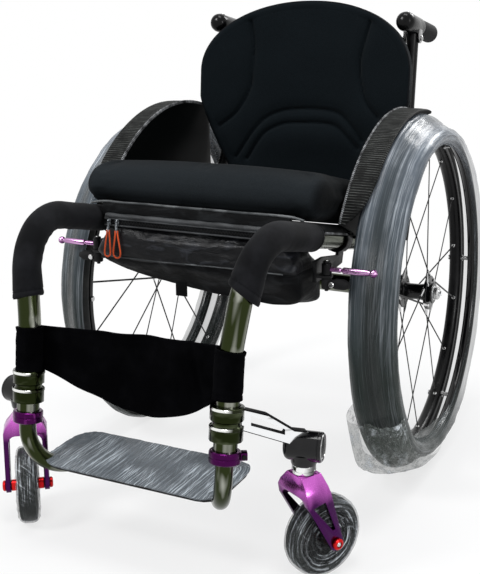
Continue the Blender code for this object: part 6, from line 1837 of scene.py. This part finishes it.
def calf_strap():
    """A strap of soft cloth behind both legs, with a hanging lobe, and a band round each leg."""
    middle_r = 0.0178
    columns, levels = 110, 34
    rows = []
    for i in range(columns + 1):
        across = -1 + 2 * i / columns
        x = across * KNEE[0]
        row = []
        for j in range(levels + 1):
            down = j / levels
            z = 0.3355 + 0.0055 * across - strap_edge(x) * down
            leg = KNEE[1] + max(0.0, KNEE[2] - z) * tan(LEG_LEAN)
            slack = cos(across * pi / 2) ** 2
            fold = 0.0022 * sin(9 * across + 4 * down) + 0.0018 * sin(15 * across - 5 * down)
            tuck = 0.0034 * bell(across - 0.56 - 0.16 * down, 0.03)
            ripple = 0.0016 * noise_at(x * 30, z * 24, 0.5)
            from_edge = strap_edge(x) * min(down, 1 - down)
            hem = 0.0009 * bell(from_edge - 0.007, 0.0011) - 0.0007 * max(0.0, 1 - from_edge / 0.007)
            behind = middle_r + slack * (0.016 * (0.35 + 0.65 * down) + fold + ripple) + hem + tuck
            row.append(spot(x, leg - behind, z))
        rows.append(row)
    strap = piece("calf_strap_cloth", skin(rows), STRAP_CLOTH, "frame", ["calf_strap"], crease=60)
    thicken(strap, 0.0022)
    for word, side in SIDES:
        path = side_path(side)
        top = 0.3375 + 0.0055 * side
        points = stretch_of(path, length_to(path, 2, top), length_to(path, 2, top - 0.064), 0.0016)
        frames = frames_along(points)
        loops = []
        for i, frame_at in enumerate(frames):
            from_end = min(i, len(frames) - 1 - i) * 0.0016
            hem = 0.0009 * bell(from_end - 0.007, 0.0012) - 0.0005 * max(0.0, 1 - from_end / 0.007)
            row = []
            for j in range(56):
                turn, flat, out = around(frame_at, j, 56)
                lap = 0.0014 if out.x * side < -0.25 and out.y < 0.2 else 0.0
                lumps = 0.0007 * noise_at(turn * 1.5, i * 0.12, side * 3)
                row.append(frame_at @ (flat * (0.0192 + lap + lumps - hem)))
            loops.append(row)
        obj = piece(f"calf_strap_band_{word}", skin(loops, closed=True), STRAP_CLOTH, "frame",
                    crease=60)
        thicken(obj, 0.002, -1)


# Studio
def studio():
    """A plain white studio: the world and the far floor are bare white to the eye and in reflections."""
    scene = bpy.context.scene
    world = bpy.data.worlds.new("studio")
    world.use_nodes = True
    scene.world = world
    nodes, links = world.node_tree.nodes, world.node_tree.links
    nodes.clear()
    both = nodes.new("ShaderNodeMixShader")
    links.new(looked_at(nodes, links), both.inputs[0])
    for number, colour, strength in ((1, (0.92, 0.95, 1.0, 1), 0.5), (2, (1, 1, 1, 1), 1.0)):
        light = nodes.new("ShaderNodeBackground")
        light.inputs["Color"].default_value = colour
        light.inputs["Strength"].default_value = strength
        links.new(light.outputs[0], both.inputs[number])
    links.new(both.outputs[0], nodes.new("ShaderNodeOutputWorld").inputs["Surface"])

    shape = bmesh.new()
    bmesh.ops.create_circle(shape, cap_ends=True, segments=96, radius=9.0)
    mesh = bpy.data.meshes.new("floor")
    shape.to_mesh(mesh)
    shape.free()
    floor = shown(bpy.data.objects.new("floor", mesh))
    ground = Finish("pale_floor", (0.52, 0.52, 0.52), 0.9, 0.0, Specular_IOR_Level=0.0)
    spread = ground.node("ShaderNodeVectorMath", {"operation": "LENGTH"}, {0: ground.place()}, output=1)
    bare = ground.node("ShaderNodeEmission",
                       inputs={"Color": (1, 1, 1, 1), "Strength": ground.span(spread, 0.45, 1.4, 1.16, 1.0)})
    seen = Value(ground, looked_at(ground.nodes, ground.links)) * ground.span(spread, 0.45, 1.4, 0.62, 1.0)
    grey = Value(ground, ground.shader.outputs[0])
    both = ground.node("ShaderNodeMixShader", inputs={0: seen, 1: grey, 2: bare})
    ground.feed(ground.nodes["Material Output"].inputs["Surface"], both)
    mesh.materials.append(ground.material)

    lamps = [lamp("key", (-1.5, -2.1, 2.6), (0.0, -0.1, 0.4), 0.8, 60),
             lamp("fill", (2.6, -1.2, 1.3), (0.1, 0.0, 0.35), 0.8, 24),
             lamp("back", (0.9, 2.4, 2.2), (0.0, 0.1, 0.5), 1.0, 46),
             lamp("top", (0.0, -0.2, 3.2), (0.0, 0.0, 0.3), 1.2, 48)]


def looked_at(nodes, links):
    """1 on what the camera sees itself, in a mirror or through glass, and 0 on what only gives light."""
    paths = nodes.new("ShaderNodeLightPath")
    seen = paths.outputs["Is Camera Ray"]
    for kind in ("Is Glossy Ray", "Is Transmission Ray"):
        both = nodes.new("ShaderNodeMath")
        both.operation = "MAXIMUM"
        links.new(seen, both.inputs[0])
        links.new(paths.outputs[kind], both.inputs[1])
        seen = both.outputs[0]
    return seen


def lamp(name, place, target, size, power):
    light = bpy.data.lights.new(name, "AREA")
    light.size = size
    light.energy = power
    obj = shown(bpy.data.objects.new(name, light))
    obj.location = place
    obj.rotation_euler = (Vector(target) - Vector(place)).to_track_quat("-Z", "Y").to_euler()
    return obj


def camera():
    yaw, pitch, roll = 0.4672, 0.2722, -0.0108
    ahead = Vector((-sin(yaw) * cos(pitch), cos(yaw) * cos(pitch), -sin(pitch)))
    right = Vector((cos(yaw), sin(yaw), 0))
    up = right.cross(ahead)
    level = right * cos(roll) + up * sin(roll)
    over = up * cos(roll) - right * sin(roll)
    data = bpy.data.cameras.new("camera")
    data.lens = 61.83
    data.sensor_width = 36
    data.shift_x = 0.00415
    data.shift_y = 0.00521
    obj = shown(bpy.data.objects.new("camera", data))
    turn = Matrix((level, over, -ahead)).transposed().to_4x4()
    obj.matrix_world = shift((0.7061, -1.452, 0.7556)) @ turn
    bpy.context.scene.camera = obj


side_tubes()
cross_tubes()
clamps()
caster_mounts()
casters()
footrest()
rear_wheels()
side_guards()
brakes()
back_frame()
back_shell()
push_handles()
back_pad()
seat_sling()
seat_cushion()
seat_bag()
zip_pulls()
tube_covers()
calf_strap()
studio()
camera()
bpy.context.scene.view_settings.view_transform = "Standard"
